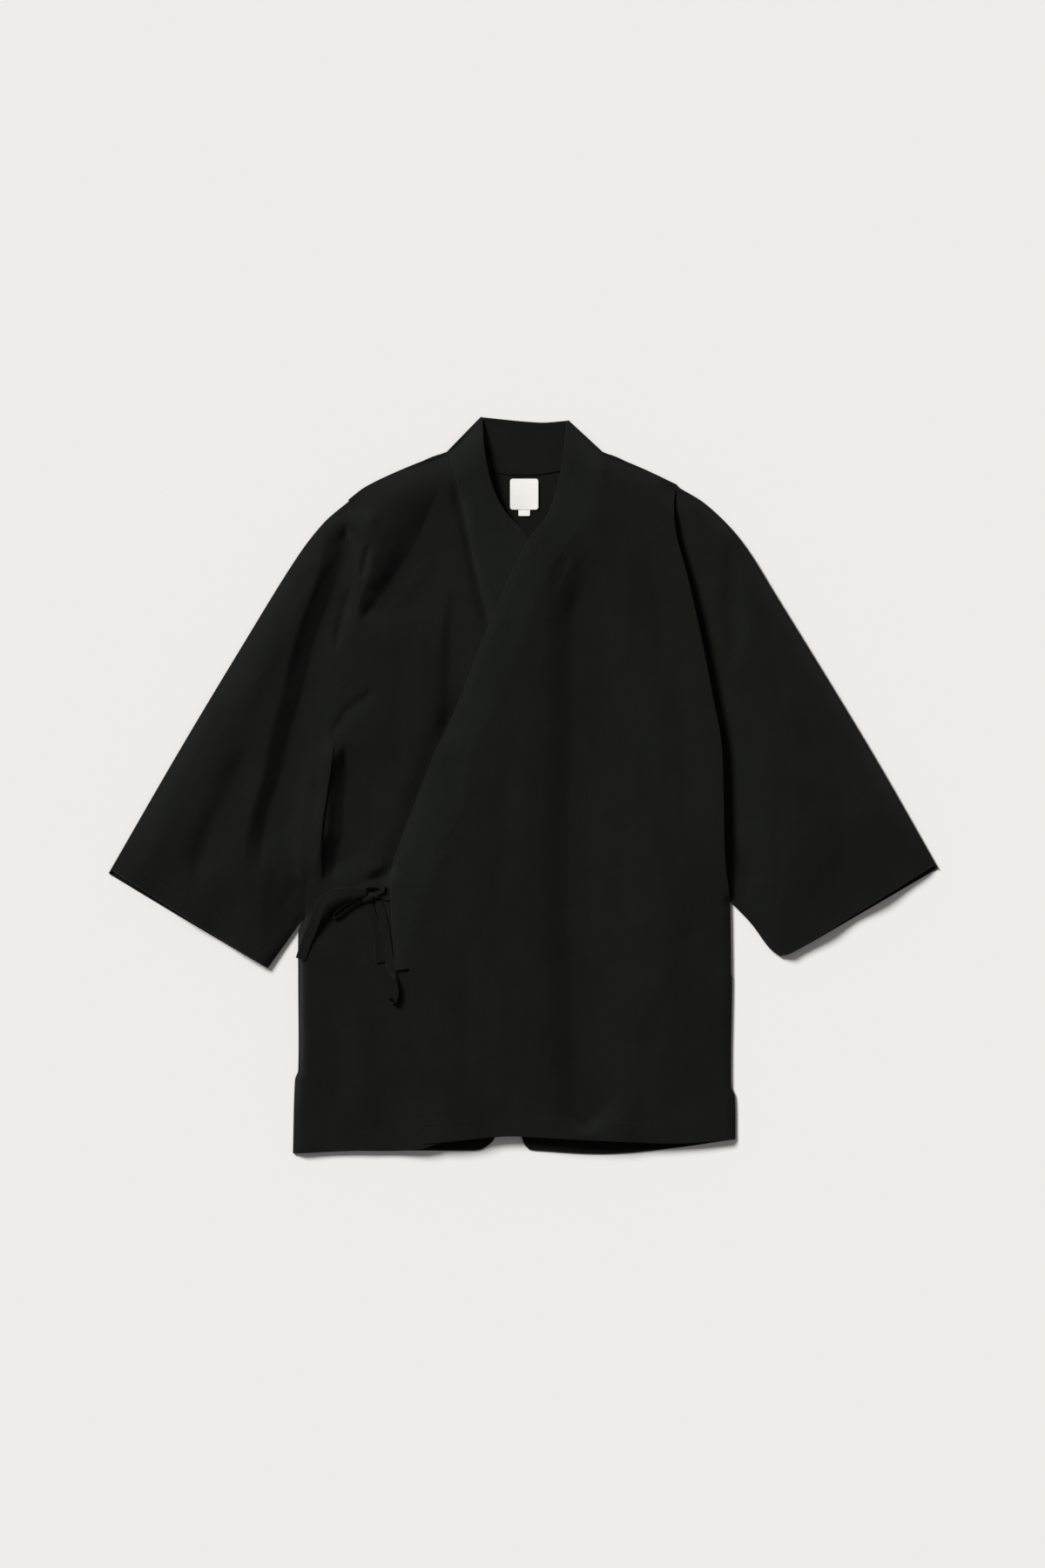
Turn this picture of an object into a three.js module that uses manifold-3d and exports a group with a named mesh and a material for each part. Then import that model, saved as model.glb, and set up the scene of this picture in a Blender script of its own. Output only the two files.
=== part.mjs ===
// A plain black samue jacket, laid flat on its back with the sleeves angled down and the front tied in a bow.
// Millimetres. +Z is up from the surface, +Y runs from the hem to the collar, +X to the wearer's left.
import * as THREE from "three";
import { mergeVertices } from "three/addons/utils/BufferGeometryUtils.js";
import Module from "manifold-3d";

const wasm = await Module();
wasm.setup();

// Driving sizes
const CLOTH = 1.5; // every layer of cloth
const GAP = 0.3; // air between two pieces that touch
const LAYER = CLOTH + GAP;
const OVERLAP_GAP = 0.9; // air between the two fronts, which only lie on each other
const HIDDEN_SAG = 1.2; // how much lower the under front lies where it is covered
const SAG_STARTS = [8, 45]; // distances inside the over front's edge between which it sags
const RIDE_ENDS = [2, 30]; // distances past the under front's edge between which the over front comes down
const BODY_LOFT = 11; // how far the fronts stand off the back
const SLEEVE_LOFT = 14;
const LOFT_CHANGE = 70; // distance from the armhole over which the loft changes
const TIE_WIDTH = 10;
const TIE_CLOTH = 1.2;
const LABEL = { width: 30, height: 33, thick: 1, drop: 4.7 };
const TAB = { width: 12, height: 6.5 };
const LABEL_MIDDLE = 1.9; // x of the label and the tab below it

// Outline points, as [x, y]. The two halves were laid by hand, so they differ by a few millimetres.
const NECK = { right: [-80.8, 358.1], left: [85.5, 358.1] };
const COLLAR_TOP = { right: [-44.2, 395.7], left: [48.9, 392] };
const COLLAR_DIP = [18.8, 390];
const SHOULDER = {
  right: [NECK.right, [-128.8, 339.3], [-168.3, 320.5], [-187.1, 306.4]],
  left: [NECK.left, [130.7, 339.3], [166.4, 322.4]],
};
const SLEEVE_FOLD = {
  right: [[-187.1, 306.4], [-214.3, 282.9], [-243.5, 245.3], [-301.7, 151.3], [-369.4, 38.5],
    [-446.5, -94.9]],
  left: [[166.4, 322.4], [199.3, 301.7], [235.9, 264.1], [271.7, 207.7], [375.1, 38.5], [448.4, -89.3]],
};
const CUFF = {
  right: [[-446.5, -94.9], [-361, -146.5], [-274.5, -197.4]],
  left: [[448.4, -89.3], [360, -141], [290, -181], [277, -184.5]],
};
const SLEEVE_SEAM = {
  right: [[-236, -143.4], [-255, -170.2], [-274.5, -197.4]],
  left: [[223.7, -126], [246.3, -149.5], [266, -176], [277, -184.5]],
};
// The edge that shows at each armhole, and the seam that lies hidden under it
const ARMHOLE = {
  right: [[-187.1, 306.4], [-186, 271], [-185.2, 235.9], [-189.9, 188.9], [-193.6, 123.1], [-192.7, 41.4],
    [-204, -47.9], [-211.5, -109], [-224, -126.5], [-236, -143.4]],
  left: [[166.4, 322.4], [170.1, 269.8], [183.3, 224.7], [197.4, 158.9], [209.6, 95.9], [218.1, 44.2],
    [221.8, -8.5], [223.7, -78], [223.7, -126]],
};
const ARMHOLE_SEAM = {
  right: [[-187.1, 306.4], [-186, 271], [-187.5, 235.9], [-192, 188.9], [-199.3, 123.1], [-206.8, 41.4],
    [-220, -47.9], [-231.2, -109], [-236, -143.4]],
  left: [[166.4, 322.4], [169.6, 280], [178.8, 224.7], [193, 158.9], [205.3, 95.9], [213.8, 44.2],
    [217.6, -8.5], [219.5, -78], [223.7, -126]],
};
// The under front's corner, cut back a little where the sleeve closes over it
const UNDER_CORNER = [[-232, -137], [-237.8, -149]];
const SIDE = {
  right: [[-240.3, -156], [-240.6, -206], [-240.6, -308], [-244, -318], [-246.3, -396.7]],
  left: [[224.7, -206], [223.7, -325], [227.5, -336], [228.4, -381.6]],
};
const OVER_EDGE = [COLLAR_TOP.left, [45.1, 358.1], [38.5, 320.5], [26.3, 287.6], [6.6, 262.3], [-33.8, 175.8],
  [-73.3, 76.1], [-95.9, 27.3], [-134.4, -73.3], [-141, -98.7], [-136.3, -199.3]];
const OVER_SEAM = [NECK.left, [81.8, 292.3], [51.7, 259.4], [17.9, 192.7], [-11.3, 117.5], [-44.2, 43.2],
  [-63, -24.4], [-82.7, -73.3], [-101.5, -121.3], [-121.3, -196.5]];
const OVER_LEAD = [[-119, -240], [-106.2, -386.3]];
const OVER_HEM = [[-106.2, -386.3], [-75.2, -382.6], [-22.6, -377.9], [3.8, -377.9], [75.2, -381.6],
  [165.4, -385.4], [228.4, -381.6]];
const UNDER_EDGE = [COLLAR_TOP.right, [-41.4, 358.1], [-32.9, 320.5], [-18.8, 292.3], [6.6, 262.3],
  [42, 170], [94, 48], [136, -74], [150, -190]];
const UNDER_SEAM = [NECK.right, [-65.8, 300.8], [-51.7, 234.1], [-34, 168], [0, 95], [47, 1], [94, -102],
  [128, -190]];
const UNDER_LEAD = [[124, -240], [101, -375]];
const UNDER_HEM = [[-246.3, -396.7], [-188, -393.9], [-112.8, -392], [-75.2, -380], [-37.6, -375],
  [101, -375]];
const BACK_NECK_MIDDLE = [0, 334.6];
const BACK_NECK = [NECK.right, [-45, 341], BACK_NECK_MIDDLE, [48, 341], NECK.left];
const BACK_HEM = {
  right: [[-246.3, -396.7], [-188, -393.9], [-52.6, -393.9]],
  left: [[228.4, -381.6], [165.4, -391], [90.2, -397.6], [14.1, -393.9]],
};
const VENT = {
  right: [[-45.1, -392.9], [-37, -388], [-30.5, -380.5], [-22, -350], [-14, -318]],
  left: [[7.5, -392.9], [3, -388], [0, -380.5], [-7, -350], [-14, -318]],
};

// How far the lower cloth is pressed down where one is tucked under the other at an armhole: along runs from
// shoulder to underarm.
const TUCK = {
  right: [
    { along: 0, depth: 0 },
    { along: 0.12, depth: 2.4 },
    { along: 0.3, depth: 2.8 },
    { along: 0.5, depth: 3.4 },
    { along: 0.68, depth: 7 },
    { along: 0.86, depth: 9.5 },
    { along: 1, depth: 9.5 },
  ],
  left: [
    { along: 0, depth: 0 },
    { along: 0.1, depth: 2.6 },
    { along: 0.2, depth: 4 },
    { along: 0.5, depth: 6 },
    { along: 0.7, depth: 10 },
    { along: 0.92, depth: 10 },
    { along: 1, depth: 3 },
  ],
};
const TUCK_SPREAD = 13;

// Largest folds: depth at the spine, and how wide each flank is, to the left and right as the spine runs.
const FOLDS = [
  { depth: 9, left: 10, right: 22, spine: [[-189.9, 283.9], [-199.3, 247.2], [-215.3, 224.7], [-232.2, 180.5],
    [-241.6, 132.5], [-252.9, 80.8], [-274.5, 4.7], [-287.6, -95.9]] },
  { depth: 6, left: 15, right: 11, spine: [[-86.5, 324.3], [-109, 267], [-159.8, 201.2], [-180.5, 170]] },
  { depth: 4, left: 8, right: 8, spine: [[-168, 250], [-189.9, 201.2], [-206.8, 153.2]] },
  { depth: 2.5, left: 10, right: 10, spine: [[-79, 210], [-79, 109], [-92.1, 45]] },
  { depth: 4.5, left: 17, right: 20, spine: [[61.1, 240], [51.7, 47.9], [42.3, -93.1], [39.5, -234.1],
    [44, -372]] },
  { depth: 3.5, left: 10, right: 14, spine: [[229.4, 265], [221.8, 183.3], [215.3, 110]] },
  { depth: 3, left: 10, right: 12, spine: [[-300.8, 25], [-327.1, -19.7], [-378, -110]] },
];
const FOLD_FADE = 0.16; // share of a fold's length over which each end fades out
const PRESSED = { x: 62, y: 345, radius: 60, depth: 7 }; // a broad round patch beside the neck

// How wide the cloth's edge takes to roll down to the surface
const ROLL = { side: 15, shoulder: 24, fold: 32, seam: 22 };

// Curves and plans
const { clamp, lerp, smoothstep } = THREE.MathUtils;

function curve(points) {
  const spline = new THREE.SplineCurve(points.map(([x, y]) => new THREE.Vector2(x, y)));
  return (t) => spline.getPointAt(clamp(t, 0, 1)).toArray();
}

function shifted(edge, shift) {
  return (t) => {
    const [x, y] = edge(t);
    return [x + shift, y];
  };
}

// One curve after another, the first over the given share.
function joinedCurves(first, second, share) {
  return (t) => (t < share ? first(t / share) : second((t - share) / (1 - share)));
}

function reversed(points) {
  return [...points].reverse();
}

// A plan between four boundary curves: u runs from the left curve to the right, v from the top one down.
function plan(left, right, top, bottom) {
  return (u, v) => [0, 1].map((axis) => {
    const sides = (1 - u) * left(v)[axis] + u * right(v)[axis];
    const ends = (1 - v) * top(u)[axis] + v * bottom(u)[axis];
    const upper = (1 - u) * left(0)[axis] + u * right(0)[axis];
    const lower = (1 - u) * left(1)[axis] + u * right(1)[axis];
    return sides + ends - (1 - v) * upper - v * lower;
  });
}

// Steps from 0 to 1, with three closer ones over the share of the width that rolls down at either end.
function steps(count, startRoll, endRoll) {
  const rolled = [0, 0.22, 0.55];
  const even = Array.from({ length: count }, (_, i) => lerp(startRoll, 1 - endRoll, i / (count - 1)));
  const start = startRoll ? rolled.map((s) => s * startRoll) : [];
  const end = endRoll ? reversed(rolled).map((s) => 1 - s * endRoll) : [];
  return [...start, ...even, ...end];
}

// The nearest place on a line of points: how far, how far along from 0 to 1, and on which side.
function nearest(line, x, y) {
  let best = { distance: Infinity, along: 0, side: 1 };
  let before = 0;
  for (let i = 1; i < line.length; i++) {
    const [ax, ay] = line[i - 1];
    const dx = line[i][0] - ax;
    const dy = line[i][1] - ay;
    const length = Math.hypot(dx, dy);
    const t = clamp(((x - ax) * dx + (y - ay) * dy) / length ** 2, 0, 1);
    const distance = Math.hypot(x - ax - t * dx, y - ay - t * dy);
    if (distance < best.distance) {
      const side = dx * (y - ay) - dy * (x - ax) > 0 ? 1 : -1;
      best = { distance, along: before + t * length, side };
    }
    before += length;
  }
  return { ...best, along: best.along / before };
}

// A column of a table of rows at a place along it, eased from row to row.
function column(rows, name, along) {
  const next = Math.max(1, rows.findIndex((row) => row.along >= along));
  const [a, b] = [rows[next - 1], rows[next]];
  return lerp(a[name], b[name], smoothstep(along, a.along, b.along));
}

// Heights
const CLOSED_EDGES = ["right", "left"].flatMap((side) => [
  { width: ROLL.shoulder, line: [COLLAR_TOP[side], ...SHOULDER[side]] },
  { width: ROLL.fold, line: SLEEVE_FOLD[side] },
  { width: ROLL.seam, line: SLEEVE_SEAM[side] },
  { width: ROLL.side, line: [ARMHOLE[side].at(-1), ...SIDE[side]] },
]);

function roll(x, y) {
  return CLOSED_EDGES.reduce((height, { width, line }) => {
    const inward = Math.min(1, nearest(line, x, y).distance / width);
    return height * (1 - (1 - inward) ** 2);
  }, 1);
}

function foldDepth(x, y) {
  const folds = FOLDS.map(({ depth, left, right, spine }) => {
    const near = nearest(spine, x, y);
    const flank = near.side > 0 ? left : right;
    const fade = smoothstep(near.along, 0, FOLD_FADE) * (1 - smoothstep(near.along, 1 - FOLD_FADE, 1));
    return depth * fade * Math.exp(-((near.distance / flank) ** 2));
  });
  const fromPatch = Math.hypot(x - PRESSED.x, y - PRESSED.y) / PRESSED.radius;
  return Math.max(...folds) + PRESSED.depth * Math.exp(-(fromPatch ** 2));
}

function tuckDepth(side, x, y) {
  const near = nearest(ARMHOLE[side], x, y);
  const spread = near.side > 0 ? near.distance : 0;
  return column(TUCK[side], "depth", near.along) * Math.exp(-((spread / TUCK_SPREAD) ** 2));
}

// Underside of the cloth that lies over the back
function bodyUnder(x, y) {
  const tuck = x < 0 ? tuckDepth("right", x, y) : 0;
  return LAYER + Math.max(0, BODY_LOFT * roll(x, y) - foldDepth(x, y) - tuck);
}

// The under front sags a little where the over front covers it.
function underFront(x, y) {
  const near = nearest([...OVER_EDGE, ...OVER_LEAD], x, y);
  const covered = near.side > 0 ? smoothstep(near.distance, ...SAG_STARTS) : 0;
  return Math.max(LAYER, bodyUnder(x, y) - HIDDEN_SAG * covered);
}

function sleeveUnder(side, x, y) {
  const out = nearest(ARMHOLE[side], x, y).distance;
  const loft = lerp(BODY_LOFT, SLEEVE_LOFT, smoothstep(out, 0, LOFT_CHANGE));
  const tuck = side === "left" ? tuckDepth("left", x, y) : 0;
  return LAYER + Math.max(0, loft * roll(x, y) - foldDepth(x, y) - tuck);
}

// The over front rides up where the under front lies below it
const UNDER_REACH = [...UNDER_EDGE, ...UNDER_LEAD];
function overUnder(x, y) {
  const near = nearest(UNDER_REACH, x, y);
  const covered = near.side < 0 ? 1 : 1 - smoothstep(near.distance, ...RIDE_ENDS);
  return bodyUnder(x, y) + covered * (CLOTH + OVERLAP_GAP);
}

// Where one cloth laps over another at an armhole, the lower one holds it up: fully within the first distance
// from the edge that shows, not at all beyond the second, and from a little below the shoulder.
const HELD = { right: [20, 32], left: [5, 12] };
const HELD_FROM = [0.06, 0.14];

function heldUp(side, x, y, own, lower) {
  const near = nearest(ARMHOLE[side], x, y);
  const held = 1 - smoothstep(near.distance, ...HELD[side]);
  const share = held * smoothstep(near.along, ...HELD_FROM);
  return Math.max(own, lerp(own, lower + LAYER + GAP, share));
}

function rightSleeveOver(x, y) {
  return heldUp("right", x, y, sleeveUnder("right", x, y), bodyUnder(x, y));
}

function leftFrontOver(x, y) {
  const own = overUnder(x, y);
  return y < ARMHOLE.left.at(-1)[1] ? own : heldUp("left", x, y, own, sleeveUnder("left", x, y));
}

// Solids
function solid(vertices, quads) {
  const geometry = new THREE.BufferGeometry();
  const index = quads.flatMap(([a, b, c, d]) => [a, b, c, a, c, d]);
  geometry.setAttribute("position", new THREE.Float32BufferAttribute(vertices.flat(), 3));
  geometry.setIndex(index);
  return geometry;
}

// A wall of cloth over a plan, with its underside at the given height.
function panel(at, under, us, vs, thick = CLOTH) {
  const vertices = [];
  const quads = [];
  const wide = us.length;
  const count = wide * vs.length;
  for (const v of vs) {
    for (const u of us) {
      const [x, y] = at(u, v);
      vertices.push([x, y, under(x, y)]);
    }
  }
  vertices.push(...vertices.map(([x, y, z]) => [x, y, z + thick]));
  const rim = [];
  for (let j = 0; j < vs.length - 1; j++) {
    for (let i = 0; i < wide - 1; i++) {
      const a = j * wide + i;
      quads.push([a, a + 1, a + wide + 1, a + wide]);
      quads.push([a + wide, a + wide + 1, a + 1, a].map((n) => n + count));
    }
  }
  for (let i = 0; i < wide - 1; i++) rim.push([i + 1, i]);
  for (let j = 0; j < vs.length - 1; j++) rim.push([j * wide, (j + 1) * wide]);
  for (let i = 0; i < wide - 1; i++) rim.push([count - wide + i, count - wide + i + 1]);
  for (let j = 0; j < vs.length - 1; j++) rim.push([(j + 2) * wide - 1, (j + 1) * wide - 1]);
  quads.push(...rim.map(([a, b]) => [a, b, b + count, a + count]));
  return solid(vertices, quads);
}

// A tube with a wall: each loop of points has an outer and an inner ring, and both ends are open.
function tube(loops, flip) {
  const ring = loops[0].outer.length;
  const vertices = loops.flatMap(({ outer, inner }) => [...outer, ...inner]);
  const quads = [];
  const id = (loop, point, skin) => loop * 2 * ring + skin * ring + (point % ring);
  for (let i = 0; i < ring; i++) {
    for (let k = 0; k < loops.length - 1; k++) {
      quads.push([id(k, i, 0), id(k, i + 1, 0), id(k + 1, i + 1, 0), id(k + 1, i, 0)]);
      quads.push([id(k + 1, i, 1), id(k + 1, i + 1, 1), id(k, i + 1, 1), id(k, i, 1)]);
    }
    const last = loops.length - 1;
    quads.push([id(0, i + 1, 0), id(0, i, 0), id(0, i, 1), id(0, i + 1, 1)]);
    quads.push([id(last, i, 0), id(last, i + 1, 0), id(last, i + 1, 1), id(last, i, 1)]);
  }
  return solid(vertices, flip ? quads.map(reversed) : quads);
}

// A flat piece of cloth with an outline of points, lying at a height.
function flatPiece(points, thick, height) {
  const shape = new THREE.Shape(points.map(([x, y]) => new THREE.Vector2(x, y)));
  return new THREE.ExtrudeGeometry(shape, { depth: thick, bevelEnabled: false }).translate(0, 0, height);
}

// Rows down the fronts: the armhole takes the first share of them, the neckband a larger one.
const ARMHOLE_SHARE = 0.62;
const BAND_SHARE = 0.74;
const ARMHOLE_ROWS = steps(13, 0.09, 0.06);
const LOWER_ROWS = [0.68, BAND_SHARE, 0.81, 0.87, 0.93, 1];
const ROWS = [...ARMHOLE_ROWS.map((t) => t * ARMHOLE_SHARE), ...LOWER_ROWS];
const BAND_ROWS = ROWS.filter((v) => v <= BAND_SHARE).map((v) => v / BAND_SHARE);
const SEAM_STEPS = steps(9, 0.05, 0.05); // along the armhole on the underside
// How far a sleeve's inner skin is drawn in: a share across it, and in mm at the armhole
const INSET = { across: 0.012, end: 1.2 };
const OUT = { right: -1, left: 1 };

// A sleeve: one flattened tube with a closed fold above, a seam below, and both ends open.
function sleeve(side) {
  const out = OUT[side];
  const edges = [curve(SLEEVE_FOLD[side]), curve(SLEEVE_SEAM[side])];
  const cuff = curve(CUFF[side]);
  const lowerEnd = shifted(curve(ARMHOLE_SEAM[side]), (out * GAP) / 2);
  const upperEnd = side === "right" ? shifted(curve(ARMHOLE.right), -GAP / 2) : lowerEnd;
  const shift = (edge) => (t) => {
    const [x, y] = edge(t);
    return [x + ((1 - t) * out * GAP) / 2, y];
  };
  const upper = plan(upperEnd, cuff, shift(edges[0]), shift(edges[1]));
  const lower = plan(lowerEnd, cuff, shift(edges[0]), shift(edges[1]));
  // The plan's u runs along the sleeve here and v across it.
  const across = ARMHOLE_ROWS;
  const along = steps(15, 0.08, 0);
  const under = side === "right" ? rightSleeveOver : (x, y) => sleeveUnder("left", x, y);
  const top = across.slice(1, -1);
  const bottom = reversed(SEAM_STEPS.slice(1, -1));
  // One ring of points round the sleeve: over the top, then back along the underside.
  const ring = (u, { across: inset, end, topRise, bottomRise }) => {
    const place = (map, v) => {
      const [x, y] = map(u, lerp(inset, 1 - inset, v));
      return [x + out * end * (1 - u), y];
    };
    const edgePoint = (v) => {
      const [x, y] = place(upper, v);
      return [x, y, (under(x, y) + CLOTH) / 2];
    };
    const topPoint = (v) => {
      const [x, y] = place(upper, v);
      return [x, y, under(x, y) + topRise];
    };
    const bottomPoint = (v) => [...place(lower, v), bottomRise];
    return [edgePoint(0), ...top.map(topPoint), edgePoint(1), ...bottom.map(bottomPoint)];
  };
  const loops = along.map((u) => ({
    outer: ring(u, { across: 0, end: 0, topRise: CLOTH, bottomRise: 0 }),
    inner: ring(u, { ...INSET, topRise: 0, bottomRise: CLOTH }),
  }));
  return tube(loops, out < 0);
}

// The two halves of the back lie flat on the surface.
function back(side) {
  const out = OUT[side];
  const fromSeam = (out * GAP) / 2;
  const shoulder = SHOULDER[side].slice(1, -1);
  const armhole = SEAM_STEPS.map(shifted(curve(ARMHOLE_SEAM[side]), (-out * GAP) / 2));
  const neck = BACK_NECK.filter(([x]) => x * out > 0).map(([x, y]) => [x, y - GAP]);
  const fromCentre = side === "right" ? reversed(neck) : neck;
  const outline = [
    [BACK_NECK_MIDDLE[0] + fromSeam, BACK_NECK_MIDDLE[1] - GAP],
    ...fromCentre,
    ...shoulder,
    ...armhole,
    ...SIDE[side].slice(0, -1),
    ...BACK_HEM[side],
    ...VENT[side].map(([x, y]) => [x + fromSeam, y]),
  ];
  return flatPiece(outline, CLOTH, 0);
}

function collarBack() {
  return flatPiece([COLLAR_TOP.right, COLLAR_DIP, COLLAR_TOP.left, ...reversed(BACK_NECK)], CLOTH, 0);
}

// The fronts: each from its band seam to its side, and from the shoulder to the hem.
function bandSeam(seamPoints, leadPoints, shift) {
  const lead = [seamPoints.at(-1), ...leadPoints];
  return shifted(joinedCurves(curve(seamPoints), curve(lead), BAND_SHARE), shift);
}

function sideSeam(side, armhole, shift) {
  const below = [armhole.at(-1), ...SIDE[side]];
  return shifted(joinedCurves(curve(armhole), curve(below), ARMHOLE_SHARE), shift);
}

function frontRight() {
  const armhole = [...ARMHOLE_SEAM.right.slice(0, -1), ...UNDER_CORNER];
  const side = sideSeam("right", armhole, GAP / 2);
  const seam = bandSeam(UNDER_SEAM, UNDER_LEAD, -GAP / 2);
  const at = plan(side, seam, curve(reversed(SHOULDER.right)), curve(UNDER_HEM));
  return panel(at, underFront, steps(16, 0.07, 0), ROWS);
}

function frontLeft() {
  const side = sideSeam("left", ARMHOLE.left, -GAP / 2);
  const seam = bandSeam(OVER_SEAM, OVER_LEAD, GAP / 2);
  const at = plan(seam, side, curve(SHOULDER.left), curve(OVER_HEM));
  return panel(at, leftFrontOver, steps(18, 0, 0.05), ROWS);
}

// A neckband runs down the edge of a front from its fold at the neck.
function band(leftPoints, rightPoints, under, leftShift, rightShift) {
  const left = shifted(curve(leftPoints), leftShift);
  const right = shifted(curve(rightPoints), rightShift);
  const top = curve([left(0), right(0)]);
  const bottom = curve([left(1), right(1)]);
  return panel(plan(left, right, top, bottom), under, steps(4, 0, 0), BAND_ROWS);
}

// Ties. Each row is a place on the strip, with its lift above the cloth and its lean: 0 flat, 1 on edge.
const KNOT = { x: -159.5, y: -117, length: 20, width: 16, height: 9, lift: 0.6, turn: 0.35 };
const SIDE_STRAP = [
  { x: -238.5, y: -187, lift: 0.6, lean: 0 },
  { x: -228, y: -162, lift: 1.6, lean: 0 },
  { x: -217, y: -138, lift: 3, lean: 0.1 },
  { x: -200, y: -122, lift: 4.5, lean: 0.2 },
  { x: -182, y: -114, lift: 4, lean: 0.2 },
  { x: -164, y: -116, lift: 2.5, lean: 0.1 },
];
const SIDE_LOOP = [
  { x: -165, y: -116, lift: 0.8, lean: 1 },
  { x: -182, y: -119.5, lift: 0.8, lean: 0.85 },
  { x: -200, y: -129, lift: 0.8, lean: 0.75 },
  { x: -210, y: -142, lift: 0.8, lean: 0.8 },
  { x: -207, y: -150, lift: 0.8, lean: 1 },
  { x: -197, y: -148, lift: 0.8, lean: 1 },
  { x: -181, y: -136, lift: 0.8, lean: 1 },
  { x: -165, y: -120, lift: 0.8, lean: 1 },
];
const SIDE_TAIL = [
  { x: -166, y: -119, lift: 1.5, lean: 0.4 },
  { x: -163, y: -136, lift: 0.8, lean: 0.4 },
  { x: -159, y: -158, lift: 0.8, lean: 0.3 },
  { x: -155, y: -176, lift: 0.8, lean: 0.25 },
  { x: -153, y: -192, lift: 0.8, lean: 0.2 },
];
const FRONT_STRAP = [
  { x: -147, y: -119, lift: 0.8, lean: 0 },
  { x: -151, y: -118, lift: 1.2, lean: 0 },
  { x: -156, y: -117, lift: 2, lean: 0 },
];
const FRONT_LOOP = [
  { x: -157, y: -112, lift: 1.5, lean: 0.9 },
  { x: -162, y: -103, lift: 2, lean: 0.85 },
  { x: -156, y: -99, lift: 2, lean: 0.8 },
  { x: -148.5, y: -102, lift: 2, lean: 0.85 },
  { x: -146, y: -109, lift: 2, lean: 1 },
  { x: -151, y: -116, lift: 2, lean: 1 },
];
const FRONT_TAIL = [
  { x: -152, y: -120, lift: 1.6, lean: 0.75 },
  { x: -147, y: -136, lift: 1.6, lean: 0.7 },
  { x: -145, y: -165, lift: 1.2, lean: 0.7 },
  { x: -142.5, y: -192, lift: 0.8, lean: 0.6 },
  { x: -136, y: -210, lift: 0.8, lean: 0.5 },
  { x: -134, y: -222, lift: 0.8, lean: 0.3 },
  { x: -141, y: -231, lift: 0.8, lean: 0.1 },
];

function clothTop(x, y) {
  return bodyUnder(x, y) + CLOTH;
}

function strip(rows, between = 3) {
  const spline = new THREE.CatmullRomCurve3(rows.map(({ x, y, lift }) => new THREE.Vector3(x, y, lift)));
  const count = (rows.length - 1) * between;
  const vertices = [];
  for (let i = 0; i <= count; i++) {
    const t = i / count;
    const place = spline.getPoint(t);
    const ahead = spline.getTangent(t);
    const row = Math.min(rows.length - 2, Math.floor(i / between));
    const lean = lerp(rows[row].lean, rows[row + 1].lean, i / between - row);
    const angle = (lean * Math.PI) / 2;
    const flat = Math.hypot(ahead.x, ahead.y);
    const side = [-ahead.y / flat, ahead.x / flat];
    const wide = [Math.cos(angle), Math.sin(angle)];
    const corners = [[-0.5, 0], [0.5, 0], [0.5, 1], [-0.5, 1]].map(([w, h]) => {
      const across = w * TIE_WIDTH * wide[0] - (h - 0.5) * TIE_CLOTH * wide[1];
      const up = w * TIE_WIDTH * wide[1] + (h - 0.5) * TIE_CLOTH * wide[0];
      return [place.x + side[0] * across, place.y + side[1] * across, up];
    });
    const lowest = Math.min(...corners.map((corner) => corner[2]));
    const ground = Math.max(...corners.map(([x, y]) => clothTop(x, y)));
    vertices.push(...corners.map(([x, y, z]) => [x, y, z - lowest + ground + place.z]));
  }
  const quads = [[3, 2, 1, 0], [0, 1, 2, 3].map((n) => n + count * 4)];
  for (let i = 0; i < count; i++) {
    for (let k = 0; k < 4; k++) {
      const a = i * 4 + k;
      const b = i * 4 + ((k + 1) % 4);
      quads.push([a, b, b + 4, a + 4]);
    }
  }
  return solid(vertices, quads);
}

function knotShape() {
  const { x, y, length, width, height, lift, turn } = KNOT;
  return new THREE.SphereGeometry(0.5, 12, 8)
    .rotateX(Math.PI / 2)
    .scale(length, width, height)
    .rotateZ(turn)
    .translate(x, y, clothTop(x, y) + lift + height / 2);
}

// All that lies to one side of the knot's middle, where the two ties cross.
function besideKnot(out) {
  const reach = 10 * KNOT.length;
  return new THREE.BoxGeometry(reach, reach, reach)
    .translate(out * (reach / 2 + GAP / 2), 0, 0)
    .rotateZ(KNOT.turn)
    .translate(KNOT.x, KNOT.y, 0);
}

// Booleans
function toManifold(geometry) {
  const plain = geometry.clone();
  plain.deleteAttribute("normal");
  plain.deleteAttribute("uv");
  const merged = mergeVertices(plain, 1e-4);
  return new wasm.Manifold(new wasm.Mesh({
    numProp: 3,
    vertProperties: merged.getAttribute("position").array,
    triVerts: new Uint32Array(merged.getIndex().array),
  }));
}

function fromManifold(made) {
  const { vertProperties, triVerts } = made.getMesh();
  const geometry = new THREE.BufferGeometry();
  geometry.setAttribute("position", new THREE.BufferAttribute(vertProperties, 3));
  geometry.setIndex(new THREE.BufferAttribute(triVerts, 1));
  return geometry;
}

// Each tie is its strap, loop and tail, joined in its own half of the knot.
function tie(out, rows) {
  const half = toManifold(knotShape()).intersect(toManifold(besideKnot(out)));
  const strands = rows.map((strand) => toManifold(strip(strand)));
  return fromManifold(strands.reduce((all, strand) => all.add(strand), half));
}

// Label
function rectangle(topY, { width, height }) {
  const [left, right] = [LABEL_MIDDLE - width / 2, LABEL_MIDDLE + width / 2];
  return [[left, topY - height], [right, topY - height], [right, topY], [left, topY]];
}

const LABEL_TOP = BACK_NECK_MIDDLE[1] - LABEL.drop;
const TAB_TOP = LABEL_TOP - LABEL.height - GAP;

const black = new THREE.MeshStandardMaterial({ color: 0x1b1c1a, roughness: 0.95, metalness: 0 });
const white = new THREE.MeshStandardMaterial({ color: 0xf2f1ec, roughness: 0.85, metalness: 0 });

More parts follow.
